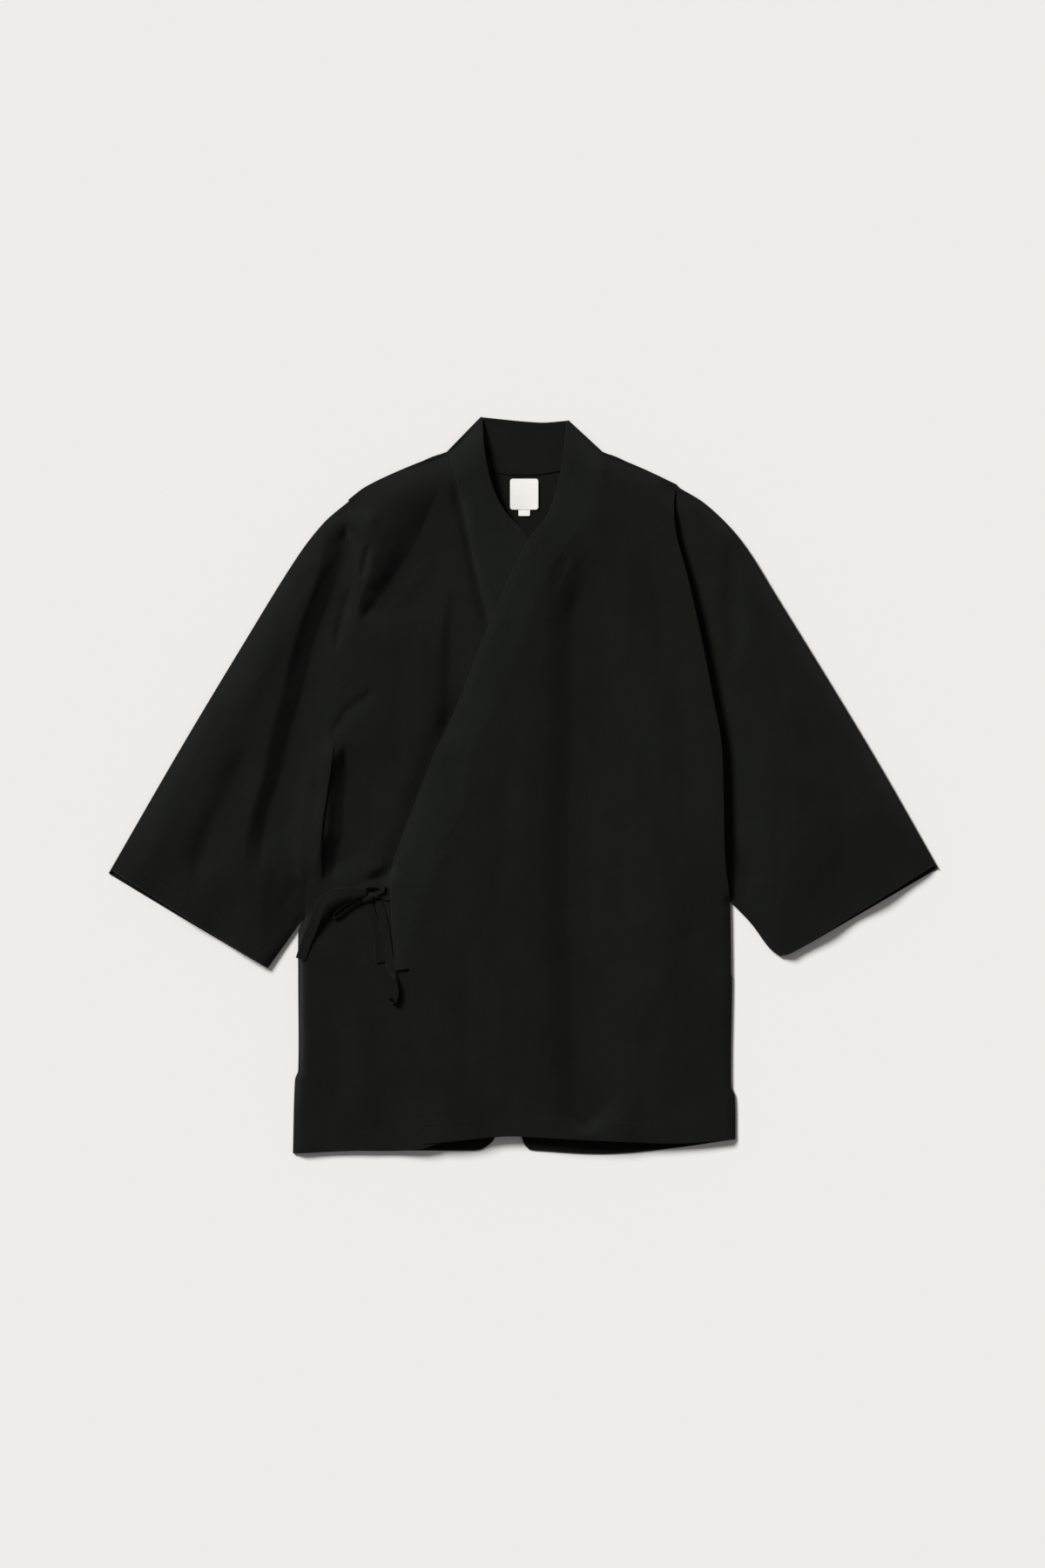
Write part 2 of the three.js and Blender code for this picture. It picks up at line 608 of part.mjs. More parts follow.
const jacket = new THREE.Group();
function add(name, geometry, material = black) {
  const mesh = new THREE.Mesh(geometry, material);
  mesh.name = name;
  jacket.add(mesh);
}

add("back_right", back("right"));
add("back_left", back("left"));
add("collar_back", collarBack());
add("sleeve_right", sleeve("right"));
add("sleeve_left", sleeve("left"));
add("front_right", frontRight());
add("collar_right", band(UNDER_SEAM, UNDER_EDGE, underFront, GAP / 2, 0));
add("front_left", frontLeft());
add("collar_left", band(OVER_EDGE, OVER_SEAM, overUnder, 0, -GAP / 2));
add("tie_side", tie(-1, [SIDE_STRAP, SIDE_LOOP, SIDE_TAIL]));
add("tie_front", tie(1, [FRONT_STRAP, FRONT_LOOP, FRONT_TAIL]));
add("label", flatPiece(rectangle(LABEL_TOP, LABEL), LABEL.thick, LAYER), white);
add("size_tab", flatPiece(rectangle(TAB_TOP, TAB), LABEL.thick, LAYER), white);

export default jacket;
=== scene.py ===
"""A plain black samue jacket, laid flat on a pale floor and dressed round its CAD frame."""
import math

import bpy
import numpy as np
from mathutils import Matrix, Vector, noise


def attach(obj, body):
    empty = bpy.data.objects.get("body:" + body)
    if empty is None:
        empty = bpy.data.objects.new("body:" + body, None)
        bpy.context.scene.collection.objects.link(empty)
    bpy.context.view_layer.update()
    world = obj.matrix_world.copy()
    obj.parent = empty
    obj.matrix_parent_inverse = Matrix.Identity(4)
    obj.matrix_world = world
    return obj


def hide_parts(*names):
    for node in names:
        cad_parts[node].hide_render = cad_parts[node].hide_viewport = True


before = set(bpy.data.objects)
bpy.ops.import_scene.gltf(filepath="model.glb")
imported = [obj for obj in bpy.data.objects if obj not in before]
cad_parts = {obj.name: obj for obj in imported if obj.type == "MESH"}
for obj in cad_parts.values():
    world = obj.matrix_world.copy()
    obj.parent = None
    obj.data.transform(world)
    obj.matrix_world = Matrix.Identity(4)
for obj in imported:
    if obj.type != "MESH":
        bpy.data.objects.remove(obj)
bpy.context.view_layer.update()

# Every size below is in millimetres, in the frame's axes: +X to the wearer's left, +Y to the collar, +Z up.
MM = 0.001

# Driving sizes, as in the solids
CLOTH = 1.5
GAP = 0.3
LAYER = CLOTH + GAP
OVERLAP_GAP = 0.9
HIDDEN_SAG = 1.2
SAG_STARTS = (8, 45)
RIDE_ENDS = (2, 30)
BODY_LOFT = 11
SLEEVE_LOFT = 14
LOFT_CHANGE = 70
TIE_WIDTH = 10
LABEL_WIDTH, LABEL_HEIGHT, LABEL_DROP = 30, 33, 4.7
TAB_WIDTH, TAB_HEIGHT = 12, 6.5
LABEL_MIDDLE = 1.9

# Sizes of the finer form
SHELL = 0.9  # a layer of the cloth as it is seen
HEM_SHELL = 1.5  # where it is turned in and stitched
STEP = 3.2  # between points on the tops of the panels
HIDDEN_STEP = 5.0
NARROW_STEP = 0.3  # between the last two rows of points at an edge

# Outline points, as (x, y). The two halves were laid by hand, so they differ by a few millimetres.
NECK = {"right": (-80.8, 358.1), "left": (85.5, 358.1)}
COLLAR_TOP = {"right": (-44.2, 395.7), "left": (48.9, 392)}
COLLAR_DIP = (18.8, 390)
SHOULDER = {
    "right": [NECK["right"], (-128.8, 339.3), (-168.3, 320.5), (-187.1, 306.4)],
    "left": [NECK["left"], (130.7, 339.3), (166.4, 322.4)],
}
SLEEVE_FOLD = {
    "right": [(-187.1, 306.4), (-214.3, 282.9), (-243.5, 245.3), (-301.7, 151.3), (-369.4, 38.5),
              (-446.5, -94.9)],
    "left": [(166.4, 322.4), (199.3, 301.7), (235.9, 264.1), (271.7, 207.7), (375.1, 38.5), (448.4, -89.3)],
}
CUFF = {
    "right": [(-446.5, -94.9), (-361, -146.5), (-274.5, -197.4)],
    "left": [(448.4, -89.3), (360, -141), (290, -181), (277, -184.5)],
}
SLEEVE_SEAM = {
    "right": [(-236, -143.4), (-255, -170.2), (-274.5, -197.4)],
    "left": [(223.7, -126), (246.3, -149.5), (266, -176), (277, -184.5)],
}
ARMHOLE = {
    "right": [(-187.1, 306.4), (-185.8, 271), (-187.2, 235.9), (-191.6, 188.9), (-198.9, 123.1), (-202, 70),
              (-202.6, 44), (-210.5, -11), (-215.6, -48), (-216.5, -84), (-216, -109), (-225, -127.5),
              (-236, -143.4)],
    "left": [(166.4, 322.4), (162.6, 304), (165, 269.8), (177, 224.7), (191.8, 158.9), (204.2, 95.9),
             (213.6, 44.2), (215.8, -8.5), (217.6, -78), (223.7, -126)],
}
ARMHOLE_SEAM = {
    "right": [(-187.1, 306.4), (-186, 271), (-187.5, 235.9), (-192, 188.9), (-199.3, 123.1), (-206.8, 41.4),
              (-220, -47.9), (-231.2, -109), (-236, -143.4)],
    "left": [(166.4, 322.4), (161.4, 304), (162.5, 269.8), (173, 224.7), (187.4, 158.9), (199.4, 95.9),
             (208.4, 44.2), (210.6, -8.5), (212.8, -78), (223.7, -126)],
}
UNDER_CORNER = [(-232, -137), (-237.8, -149)]
SIDE = {
    "right": [(-240.3, -156), (-240.6, -206), (-240.6, -308), (-244, -318), (-246.3, -396.7)],
    "left": [(224.7, -206), (223.7, -325), (227.5, -336), (228.4, -381.6)],
}
OVER_EDGE = [COLLAR_TOP["left"], (45.1, 358.1), (38.5, 320.5), (26.3, 287.6), (6.6, 262.3), (-33.8, 175.8),
             (-73.3, 76.1), (-95.9, 27.3), (-134.4, -73.3), (-141, -98.7), (-136.3, -199.3)]
OVER_SEAM = [NECK["left"], (81.8, 292.3), (51.7, 259.4), (17.9, 192.7), (-11.3, 117.5), (-44.2, 43.2),
             (-63, -24.4), (-82.7, -73.3), (-101.5, -121.3), (-121.3, -196.5)]
OVER_LEAD = [(-119, -240), (-106.2, -386.3)]
OVER_HEM = [(-106.2, -386.3), (-75.2, -382.6), (-22.6, -377.9), (3.8, -377.9), (75.2, -381.6),
            (165.4, -385.4), (228.4, -381.6)]
UNDER_EDGE = [COLLAR_TOP["right"], (-41.4, 358.1), (-32.9, 320.5), (-18.8, 292.3), (6.6, 262.3),
              (42, 170), (94, 48), (136, -74), (150, -190)]
UNDER_SEAM = [NECK["right"], (-65.8, 300.8), (-51.7, 234.1), (-34, 168), (0, 95), (47, 1), (94, -102),
              (128, -190)]
UNDER_LEAD = [(124, -240), (101, -375)]
UNDER_HEM = [(-246.3, -396.7), (-188, -393.9), (-112.8, -392), (-75.2, -380), (-37.6, -375), (101, -375)]
BACK_NECK_MIDDLE = (0, 334.6)
BACK_NECK = [NECK["right"], (-45, 341), BACK_NECK_MIDDLE, (48, 341), NECK["left"]]
BACK_HEM = {
    "right": [(-246.3, -396.7), (-188, -393.9), (-52.6, -393.9), (-45.1, -392.9)],
    "left": [(7.5, -392.9), (14.1, -393.9), (90.2, -397.6), (165.4, -391), (228.4, -381.6)],
}
VENT = {
    "right": [(-14, -318), (-22, -350), (-30.5, -380.5), (-37, -388), (-45.1, -392.9)],
    "left": [(-14, -318), (-7, -350), (0, -380.5), (3, -388), (7.5, -392.9)],
}
OUT = {"right": -1, "left": 1}

# How far the sleeve is pressed down beside the left front's edge, as (along the armhole, depth), and how
# wide that is. How far the front's edge is raised over it.
TUCK = [(0, 0), (0.04, 4), (0.1, 9), (0.2, 11), (0.94, 11), (1, 3)]
TUCK_SPREAD = [(0, 12), (0.1, 16), (0.3, 28), (0.6, 36), (1, 34)]
RAISED = [(0, 0), (0.1, 1), (0.3, 3.4), (0.9, 3.6), (1, 1)]
RAISED_SPREAD = 26

# Folds: depth at the spine, share of its length over which it fades in and out, the flank to the left and
# to the right as the spine runs, and the spine. A flank is its width where it is soft, or (width at the
# start and at the end, power at the start and at the end): power 0 is soft, power 1 falls evenly between
# two crisp edges, and power 2 has a soft top and a crisp foot.
FOLDS = [
    (11.4, (0.05, 0.14), (15, 62, 0, 0), (22, 17, 1, 1), [
        (-189.9, 285.8), (-192.3, 259.4), (-198, 229), (-206, 202), (-215, 180), (-222.5, 160), (-229, 138),
        (-234.5, 113.7), (-241, 87.4), (-249.1, 61.1), (-256.6, 29.1), (-264.1, 0.9), (-272.5, -22.6),
        (-279.2, -50.8), (-282.9, -83.7), (-284.8, -104.3)]),
    (9.6, (0.34, 0.12), (66, 80, 0, 0), (44, 18, 1.7, 1), [
        (-83.7, 332.8), (-94, 309.3), (-106.2, 282), (-115.5, 261), (-126.4, 243.5), (-139.1, 225),
        (-152.3, 206), (-166.5, 186), (-178.6, 170.1)]),
    (5.5, (0.2, 0.2), 26, 15, [(-290, 48), (-305.5, 15), (-323.4, -27.3), (-340.3, -64.9), (-358, -110)]),
    (5.4, (0.16, 0.16), 24, 10, [(-75, 232), (-76, 190), (-76.5, 140), (-79, 80), (-88, 30)]),
    (12, (0.12, 0.02), (80, 46, 0, 1), 26, [
        (74, 262), (66, 205), (62, 160), (61, 100), (61.5, 48), (60, 0), (58, -46), (57, -93), (58, -140),
        (60, -187), (62, -234), (64, -281), (65.5, -328), (69, -378)]),
    (3.6, (0.16, 0.16), 16, 8, [(229, 272), (225.6, 252), (223, 210), (223.7, 174), (231, 126)]),
    (2.2, (0.2, 0.3), 9, 11, [(52, 252), (46, 235), (38, 212), (31, 184)]),
    # along the seam of the under band, and above the knot
    (5.4, (0.16, 0.2), 9, (15, 13, 1, 1), [(-78, 330), (-69, 300), (-54.7, 234.1), (-43, 190), (-34, 156)]),
    (6.5, (0.2, 0.3), 8, (17, 13, 1, 1), [(-134, -78), (-145, -92), (-158, -99.5), (-174, -102)]),
]

# The dip of the right front beside the over band
BESIDE_BAND = [
    (4.4, (0.16, 0.16), 6, 13, [
        (-58, 108), (-74, 74), (-92, 36), (-97, 22), (-116, -26), (-136, -77), (-146, -100), (-160, -112),
        (-178, -116)]),
]

# The pleat of the right front that runs in under the sleeve
PLEAT = [
    (12, (0.22, 0.2), (80, 60, 0, 0), (24, 19, 1, 1), [
        (-191.8, 52), (-190.8, 0.9), (-191.3, -36.7), (-192.7, -57.3), (-199.3, -69.6), (-204.9, -93.1),
        (-208.7, -112)]),
]

SOFT_LANDING = 0.5

CREASE_FADES = (0.16, 0.16)


def faded(rows):
    """Rows of creases in the form of the folds, all with the same fades."""
    return [(depth, CREASE_FADES, left, right, spine) for depth, left, right, spine in rows]


# Finer creases that lie over the folds: depth, the flank to the left and to the right, and the spine
CREASES = faded([
    # beside the neck and down the right front
    (0.9, 8, (7, 8, 1, 1), [(-199.3, 256.6), (-204, 237.8), (-212.4, 222.8), (-225.6, 193.6),
                            (-232.2, 170.1), (-237.8, 146.6), (-247.2, 121.3), (-252.9, 99.6)]),
    (-3.2, 15, 16, [(-166, 300), (-158, 268), (-158, 238), (-169, 206)]),
    (-3.6, (13, 13, 1, 1), 18, [(-203, 58), (-204.6, 40), (-211.5, -11), (-216.6, -48), (-217.5, -84),
                                (-217, -112)]),
    (3.0, 4, (5, 5, 1, 1), [(-165, 260), (-169.6, 241), (-173, 222)]),
    (3.2, 8, (8, 5, 1, 1), [(-185, 216), (-191.8, 192), (-198.3, 168), (-202, 146)]),
    (2.6, 9, (6, 5, 1, 1), [(-157, 104), (-171, 94), (-188, 82), (-198, 67), (-208, 53)]),
    (0.9, 6, 7, [(-134, 165), (-131, 120), (-133, 60), (-128, 10)]),
    (-0.7, 8, 6, [(-110, 180), (-106, 110), (-111, 40)]),
    (0.7, 9, 6, [(-158, 20), (-164, -30), (-161, -72)]),
    (0.8, 7, 10, [(-110, 10), (-118, -40), (-139, -86)]),
    (-0.9, 6, 9, [(-95, 250), (-124, 205), (-150, 182)]),
    (-1.1, 9, 7, [(-133, 268), (-158, 214), (-176, 186)]),
    (0.8, 8, 7, [(-196, -10), (-186, -60), (-189, -98)]),
    # below the bow
    (0.9, 9, 12, [(-214, -232), (-196, -280), (-199, -352)]),
    (-0.7, 12, 9, [(-180, -218), (-172, -290), (-178, -370)]),
    (0.6, 10, 8, [(-158, -250), (-150, -318), (-153, -380)]),
    (0.7, 7, 8, [(-205, -205), (-172, -232), (-140, -243)]),
    # over front
    (0.9, 8, 10, [(76, 250), (82, 200), (91, 160), (98, 138)]),
    (1.0, 6, 9, [(66, 248), (58, 205), (61, 162)]),
    (-0.7, 9, 7, [(110, 268), (114, 200), (108, 120)]),
    (0.8, 7, 8, [(132, 262), (147, 190), (152, 118)]),
    (0.8, 10, 8, [(168, 150), (170, 80), (176, 10), (172, -50)]),
    (-0.8, 11, 9, [(140, 110), (146, 20), (141, -74)]),
    (0.7, 9, 12, [(104, 60), (112, -40), (109, -130), (118, -214)]),
    (-0.7, 12, 12, [(84, -20), (86, -120), (79, -210)]),
    (0.8, 12, 8, [(186, -120), (180, -210), (188, -300)]),
    (-0.6, 9, 11, [(158, -160), (152, -250), (158, -352)]),
    (0.7, 11, 9, [(132, -252), (126, -310), (131, -372)]),
    (0.8, 9, 10, [(-14, 40), (-22, -70), (-34, -160)]),
    (-0.6, 10, 10, [(8, 90), (2, -20), (-4, -130)]),
    (0.8, 10, 8, [(-58, -160), (-62, -250), (-57, -340)]),
    (-0.7, 9, 12, [(-28, -200), (-22, -280), (-30, -370)]),
    (0.6, 8, 8, [(10, -240), (4, -300), (8, -366)]),
    (0.6, 6, 7, [(206, -150), (160, -172), (128, -168)]),
    (-0.6, 8, 7, [(196, 62), (170, 46), (150, 44)]),
    # right sleeve
    (1.0, 8, 10, [(-226, 235), (-252, 190), (-262, 150)]),
    (-0.9, 8, 10, [(-262, 150), (-290, 100), (-306, 50)]),
    (0.9, 10, 8, [(-312, 92), (-332, 60), (-360, 0), (-389, -62)]),
    (0.8, 9, 12, [(-250, -20), (-258, -70), (-270, -128)]),
    (-0.8, 12, 8, [(-234, 40), (-238, -30), (-243, -92)]),
    (0.9, 7, 8, [(-214, 60), (-220, 0), (-227, -46)]),
    (0.7, 8, 7, [(-330, -20), (-345, -70), (-352, -118)]),
    (-0.6, 8, 8, [(-360, -10), (-392, -58), (-416, -94)]),
    (0.7, 6, 6, [(-218, -92), (-244, -106), (-262, -136)]),
    # left sleeve
    (1.4, 5, 7, [(190, 234), (201, 224), (213, 222)]),
    (0.9, 8, 9, [(190, 292), (206, 250), (216, 215)]),
    (-0.8, 8, 8, [(236, 236), (246, 190), (242, 140)]),
    (0.8, 10, 9, [(256, 200), (272, 140), (276, 80)]),
    (0.9, 9, 10, [(244, 70), (252, 0), (249, -62)]),
    (-0.7, 10, 10, [(282, 96), (296, 20), (292, -60)]),
    (0.8, 11, 9, [(318, 84), (336, 20), (344, -60), (338, -118)]),
    (-0.7, 9, 9, [(352, 40), (374, -12), (388, -66)]),
    (0.8, 8, 7, [(272, -20), (278, -80), (272, -138)]),
    (0.6, 8, 8, [(236, -70), (262, -92), (300, -101)]),
])

# Troughs in the back, which lies on the floor and lifts off it only there
BACK_FOLDS = faded([
    (2.6, 13, 16, [(-58, 300), (-64, 180), (-52, 40), (-60, -120)]),
    (2.2, 12, 10, [(74, 290), (92, 190), (84, 60)]),
    (2.4, 16, 12, [(46, 60), (58, -90), (50, -250), (56, -352)]),
    (1.8, 10, 13, [(-136, 220), (-148, 80), (-139, -60)]),
    (2.0, 12, 9, [(-118, -120), (-126, -240), (-116, -350)]),
    (1.7, 9, 12, [(142, 200), (152, 60), (148, -70)]),
    (1.9, 13, 12, [(136, -130), (128, -230), (134, -344)]),
    (1.4, 9, 9, [(-176, 120), (-168, 20), (-174, -80)]),
    (1.5, 10, 8, [(12, 260), (6, 150), (14, 30)]),
    (1.3, 9, 8, [(-20, -60), (-30, -170), (-26, -280)]),
    (1.2, 8, 10, [(92, -20), (98, -140), (90, -232)]),
    (1.3, 8, 8, [(-196, -190), (-150, -204), (-96, -196)]),
    (1.1, 8, 9, [(186, -172), (150, -186), (104, -180)]),
])


# Curves and plans, on whole arrays of places at once
def smoothstep(value, start, end):
    t = np.clip((value - start) / (end - start), 0, 1)
    return t * t * (3 - 2 * t)


def lerp(a, b, t):
    return a + (b - a) * t


def spline(points, per_span):
    """The points of a smooth curve through the given ones, which keeps to their order."""
    p = np.array(points, float)
    t = np.linspace(0, 1, per_span, endpoint=False)[:, None]
    reach = np.maximum(np.linalg.norm(np.diff(p, axis=0), axis=1), 1e-6)
    rates = np.diff(p, axis=0) / reach[:, None]
    across = (p[2:] - p[:-2]) / (reach[:-1] + reach[1:])[:, None]
    turns = np.vstack([rates[:1], across, rates[-1:]])
    spans = []
    for i in range(len(p) - 1):
        start, end = p[i], p[i + 1]
        leave, arrive = turns[i] * reach[i], turns[i + 1] * reach[i]
        cubic = (2 * start - 2 * end + leave + arrive) * t**3
        square = (3 * end - 3 * start - 2 * leave - arrive) * t**2
        spans.append(cubic + square + leave * t + start)
    return np.vstack([*spans, p[-1:]])


def runs(points):
    """How far along a line each of its points is."""
    steps = np.linalg.norm(np.diff(points, axis=0), axis=1)
    return np.concatenate([[0], np.cumsum(steps)])


def curve(points):
    """A place on the curve for each share of its length."""
    dense = spline(points, 24)
    run = runs(dense)
    return lambda t: np.stack([np.interp(t, run / run[-1], dense[:, k]) for k in range(dense.shape[1])], -1)


def joined(first, second, share):
    """Two curves end to end, the first of which takes up a share of the whole."""
    def at(t):
        late = second(np.clip((t - share) / (1 - share), 0, 1))
        return np.where((t < share)[..., None], first(np.clip(t / share, 0, 1)), late)
    return at


def shifted(edge, shift):
    return lambda t: edge(t) + np.array([shift, 0])


def plan(left, right, top, bottom):
    """A map from (u, v) to a place between four curves: u from the left one, v from the top one."""
    corner = [side(np.array(end)) for end in (0, 1) for side in (left, right)]

    def at(u, v):
        u1, v1 = u[..., None], v[..., None]
        sides = lerp(left(v), right(v), u1)
        ends = lerp(top(u), bottom(u), v1)
        corners = lerp(lerp(corner[0], corner[1], u1), lerp(corner[2], corner[3], u1), v1)
        return sides + ends - corners
    return at


LINES = {}


def nearest(line, x, y, per_span=6):
    """For each place: how far it is from a line, how far along from 0 to 1, and on which side."""
    key = (tuple(line), per_span)
    if key not in LINES:
        LINES[key] = spline(line, per_span)
    points = LINES[key]
    run = runs(points)
    start, step = points[:-1], np.diff(points, axis=0)
    shape = x.shape
    dx = x.reshape(-1, 1) - start[:, 0]
    dy = y.reshape(-1, 1) - start[:, 1]
    length = np.maximum(np.hypot(*step.T), 1e-9)
    t = np.clip((dx * step[:, 0] + dy * step[:, 1]) / length**2, 0, 1)
    distance = np.hypot(dx - t * step[:, 0], dy - t * step[:, 1])
    best = distance.argmin(1)
    row = np.arange(len(best))
    along = (run[best] + t[row, best] * length[best]) / run[-1]
    cross = step[best, 0] * dy[row, best] - step[best, 1] * dx[row, best]
    side = np.where(cross > 0, 1, -1)
    return distance[row, best].reshape(shape), along.reshape(shape), side.reshape(shape)


def flank_share(flank, distance, along):
    """How much of a trough's depth is left at a distance from its spine."""
    if not isinstance(flank, tuple):
        return np.exp(-((distance / flank) ** 2))
    start, end, power_start, power_end = flank
    width = lerp(start, end, along)
    if power_start == 0:
        return np.exp(-((distance / width) ** 2))
    return np.clip(1 - distance / width, 0, 1) ** lerp(power_start, power_end, along)


def widest(flank):
    return max(flank[:2]) if isinstance(flank, tuple) else flank


def troughs(rows, x, y):
    """The depth of each trough of a table at each place."""
    depths = np.zeros((len(rows), *x.shape))
    for made, (depth, fades, left, right, spine) in zip(depths, rows):
        reach = 3 * max(widest(left), widest(right))
        low = np.min(spine, 0) - reach
        high = np.max(spine, 0) + reach
        inside = (x > low[0]) & (x < high[0]) & (y > low[1]) & (y < high[1])
        if inside.any():
            distance, along, side = nearest(spine, x[inside], y[inside])
            length = runs(np.array(spine))[-1]
            from_start, from_end = along * length, (1 - along) * length
            fade = smoothstep(from_start, 0, fades[0] * length + distance)
            fade *= smoothstep(from_end, 0, fades[1] * length + distance)
            on_left, on_right = [flank_share(flank, distance, along) for flank in (left, right)]
            made[inside] = depth * fade * np.where(side > 0, on_left, on_right)
    return depths


def ripple(x, y, size, layer):
    """Smooth noise from about -1 to 1, with lumps of the given size."""
    flat = [noise.noise((a / size, b / size, layer)) for a, b in zip(x.ravel(), y.ravel())]
    return np.array(flat).reshape(x.shape)


# Heights
# How wide the cloth takes to rise from each closed edge, and how quickly it starts
CLOSED_EDGES = [(width, power, line) for side in OUT for width, power, line in (
    (34, 2, [COLLAR_TOP[side], *SHOULDER[side]]),
    (36, 2, SLEEVE_FOLD[side]),
    (15, 3, SLEEVE_SEAM[side]),
    (12, 3, [ARMHOLE[side][-1], *SIDE[side]]),
)]


def roll(x, y):
    """How much of its full height the cloth has: 0 at a closed edge and 1 away from it."""
    height = np.ones(x.shape)
    for width, power, line in CLOSED_EDGES:
        inward = np.minimum(1, nearest(line, x, y)[0] / width)
        height *= 1 - (1 - inward) ** power
    return height


def table_at(rows, places):
    """The value between the rows (place, value) of a table, with no corners."""
    dense = spline(rows, 10)
    return np.interp(places, dense[:, 0], dense[:, 1])


def beside_armhole(depths, spread, x, y):
    """A depth along the left armhole, which falls off to both sides."""
    distance, along, _ = nearest(ARMHOLE["left"], x, y)
    return np.interp(along, *zip(*depths)) * np.exp(-((distance / spread(along)) ** 2))


def tuck_depth(x, y):
    return beside_armhole(TUCK, lambda along: np.interp(along, *zip(*TUCK_SPREAD)), x, y)


def raised(x, y):
    return beside_armhole(RAISED, lambda along: RAISED_SPREAD, x, y)


# How far the fronts' hem comes down towards the back, as (x, depth)
HEM_DROP = [(-250, 7.4), (-205, 8.0), (-170, 7.0), (-138, 7.0), (-112, 3.6), (-82, 1.0), (-55, 1.8),
            (-36, 4.4), (-12, 4.6), (8, 2.6), (40, 0.8), (75, 0.4), (104, 0.9), (140, 2.4), (172, 4.4),
            (204, 5.6), (230, 6.6)]
HEM_LEVEL = -388
HEM_FLAT, HEM_REACH = 8, 125  # above the hem's level, where the drop is full and where it ends


def hem_sag(x, y):
    return (1 - smoothstep(y, HEM_LEVEL + HEM_FLAT, HEM_LEVEL + HEM_REACH)) * table_at(HEM_DROP, x)


# How far the upper side of a cuff comes down, as (share along, depth)
CUFF_DROP = {
    "right": [(0, 8), (0.14, 7.4), (0.3, 9.6), (0.5, 6.6), (0.68, 9.2), (0.85, 7.6), (1, 8)],
    "left": [(0, 8), (0.16, 9.4), (0.36, 6.8), (0.55, 9.4), (0.72, 7.2), (0.88, 8.8), (1, 8)],
}
CUFF_FLAT, CUFF_REACH = 4, 105  # from the cuff, where the drop is full and where it ends


def cuff_sag(side, x, y):
    distance, along, _ = nearest(CUFF[side], x, y)
    return (1 - smoothstep(distance, CUFF_FLAT, CUFF_REACH)) * table_at(CUFF_DROP[side], along)


# Where the two layers lie flatter towards a seam: how far they come down, and within what distance
SEAM_DROP, SEAM_REACH = 8.5, 80
SIDE_DROP, SIDE_REACH = 6.5, 70


def seam_sag(side, x, y):
    distance = nearest(SLEEVE_SEAM[side], x, y)[0]
    return SEAM_DROP * (1 - smoothstep(distance, 0, SEAM_REACH))


def side_sag(x, y):
    distance = nearest([ARMHOLE["left"][-1], *SIDE["left"]], x, y)[0]
    return SIDE_DROP * (1 - smoothstep(distance, 0, SIDE_REACH))


# The cloth's own unevenness, as (height, size of its lumps, layer of the noise)
UNEVEN = [(0.5, 70, 1.7), (0.22, 24, 5.1), (0.07, 9, 9.3)]


def relief(x, y, share):
    """What the finer creases and the cloth's own unevenness take off the height."""
    uneven = sum(high * ripple(x, y, size, layer) for high, size, layer in UNEVEN)
    return share * (troughs(CREASES, x, y).sum(0) + uneven)


def settled(height):
    """A height above the layer below, which meets it softly."""
    return np.log1p(np.exp(height / SOFT_LANDING)) * SOFT_LANDING


def body_under(x, y):
    rolled = roll(x, y)
    folds = troughs(FOLDS + PLEAT, x, y).max(0)
    sag = np.maximum(hem_sag(x, y), side_sag(x, y))
    lowered = folds + relief(x, y, rolled) + rolled * sag
    return LAYER + settled(BODY_LOFT * rolled - lowered)


def under_front(x, y):
    distance, _, side = nearest([*OVER_EDGE, *OVER_LEAD], x, y)
    covered = np.where(side > 0, smoothstep(distance, *SAG_STARTS), 0)
    dip = troughs(BESIDE_BAND, x, y).max(0)
    return np.maximum(LAYER, body_under(x, y) - HIDDEN_SAG * covered - dip)


def over_under(x, y):
    distance, _, side = nearest([*UNDER_EDGE, *UNDER_LEAD], x, y)
    covered = np.where(side < 0, 1, 1 - smoothstep(distance, *RIDE_ENDS))
    return body_under(x, y) + covered * (CLOTH + OVERLAP_GAP)


def sleeve_under(side, x, y):
    rolled = roll(x, y)
    loft = lerp(BODY_LOFT, SLEEVE_LOFT, smoothstep(nearest(ARMHOLE[side], x, y)[0], 0, LOFT_CHANGE))
    tuck = tuck_depth(x, y) if side == "left" else 0
    sag = np.maximum(cuff_sag(side, x, y), seam_sag(side, x, y))
    lowered = troughs(FOLDS, x, y).max(0) + tuck + relief(x, y, rolled) + rolled * sag
    return LAYER + settled(loft * rolled - lowered)


# Where the upper cloth at an armhole is held off the lower one: within how far of it, and along what part of
# it. Above that part it is sewn flush.
HELD = {"right": (20, 32), "left": (5, 12)}
HELD_FROM = {"right": (0.56, 0.62), "left": (0.06, 0.14)}
HELD_TO = {"right": (0.86, 0.93), "left": (1.1, 1.2)}


def held_up(side, x, y, own, lower):
    distance, along, _ = nearest(ARMHOLE[side], x, y)
    share = (1 - smoothstep(distance, *HELD[side])) * smoothstep(along, *HELD_FROM[side])
    share *= 1 - smoothstep(along, *HELD_TO[side])
    return np.maximum(own, lerp(own, lower + LAYER + GAP, share))


def sleeve_over(side, x, y):
    own = sleeve_under(side, x, y)
    return held_up("right", x, y, own, body_under(x, y)) if side == "right" else own


def left_front_over(x, y):
    own = over_under(x, y) + roll(x, y) * raised(x, y)
    held = held_up("left", x, y, own, sleeve_under("left", x, y))
    return np.where(y < ARMHOLE["left"][-1][1], own, held)


def back_lift(x, y):
    """How far the back lifts off the floor in its own troughs, seen from below."""
    return troughs(BACK_FOLDS, x, y).sum(0)


# Meshes
RIM_ANGLES = np.radians([60, 25, -25, -60])  # of the points round an edge between its two skins
RIM_BULGE = 1.6  # the most that a rounded edge reaches out
RIM_FLOOR = 0.05  # where an edge that is turned down ends


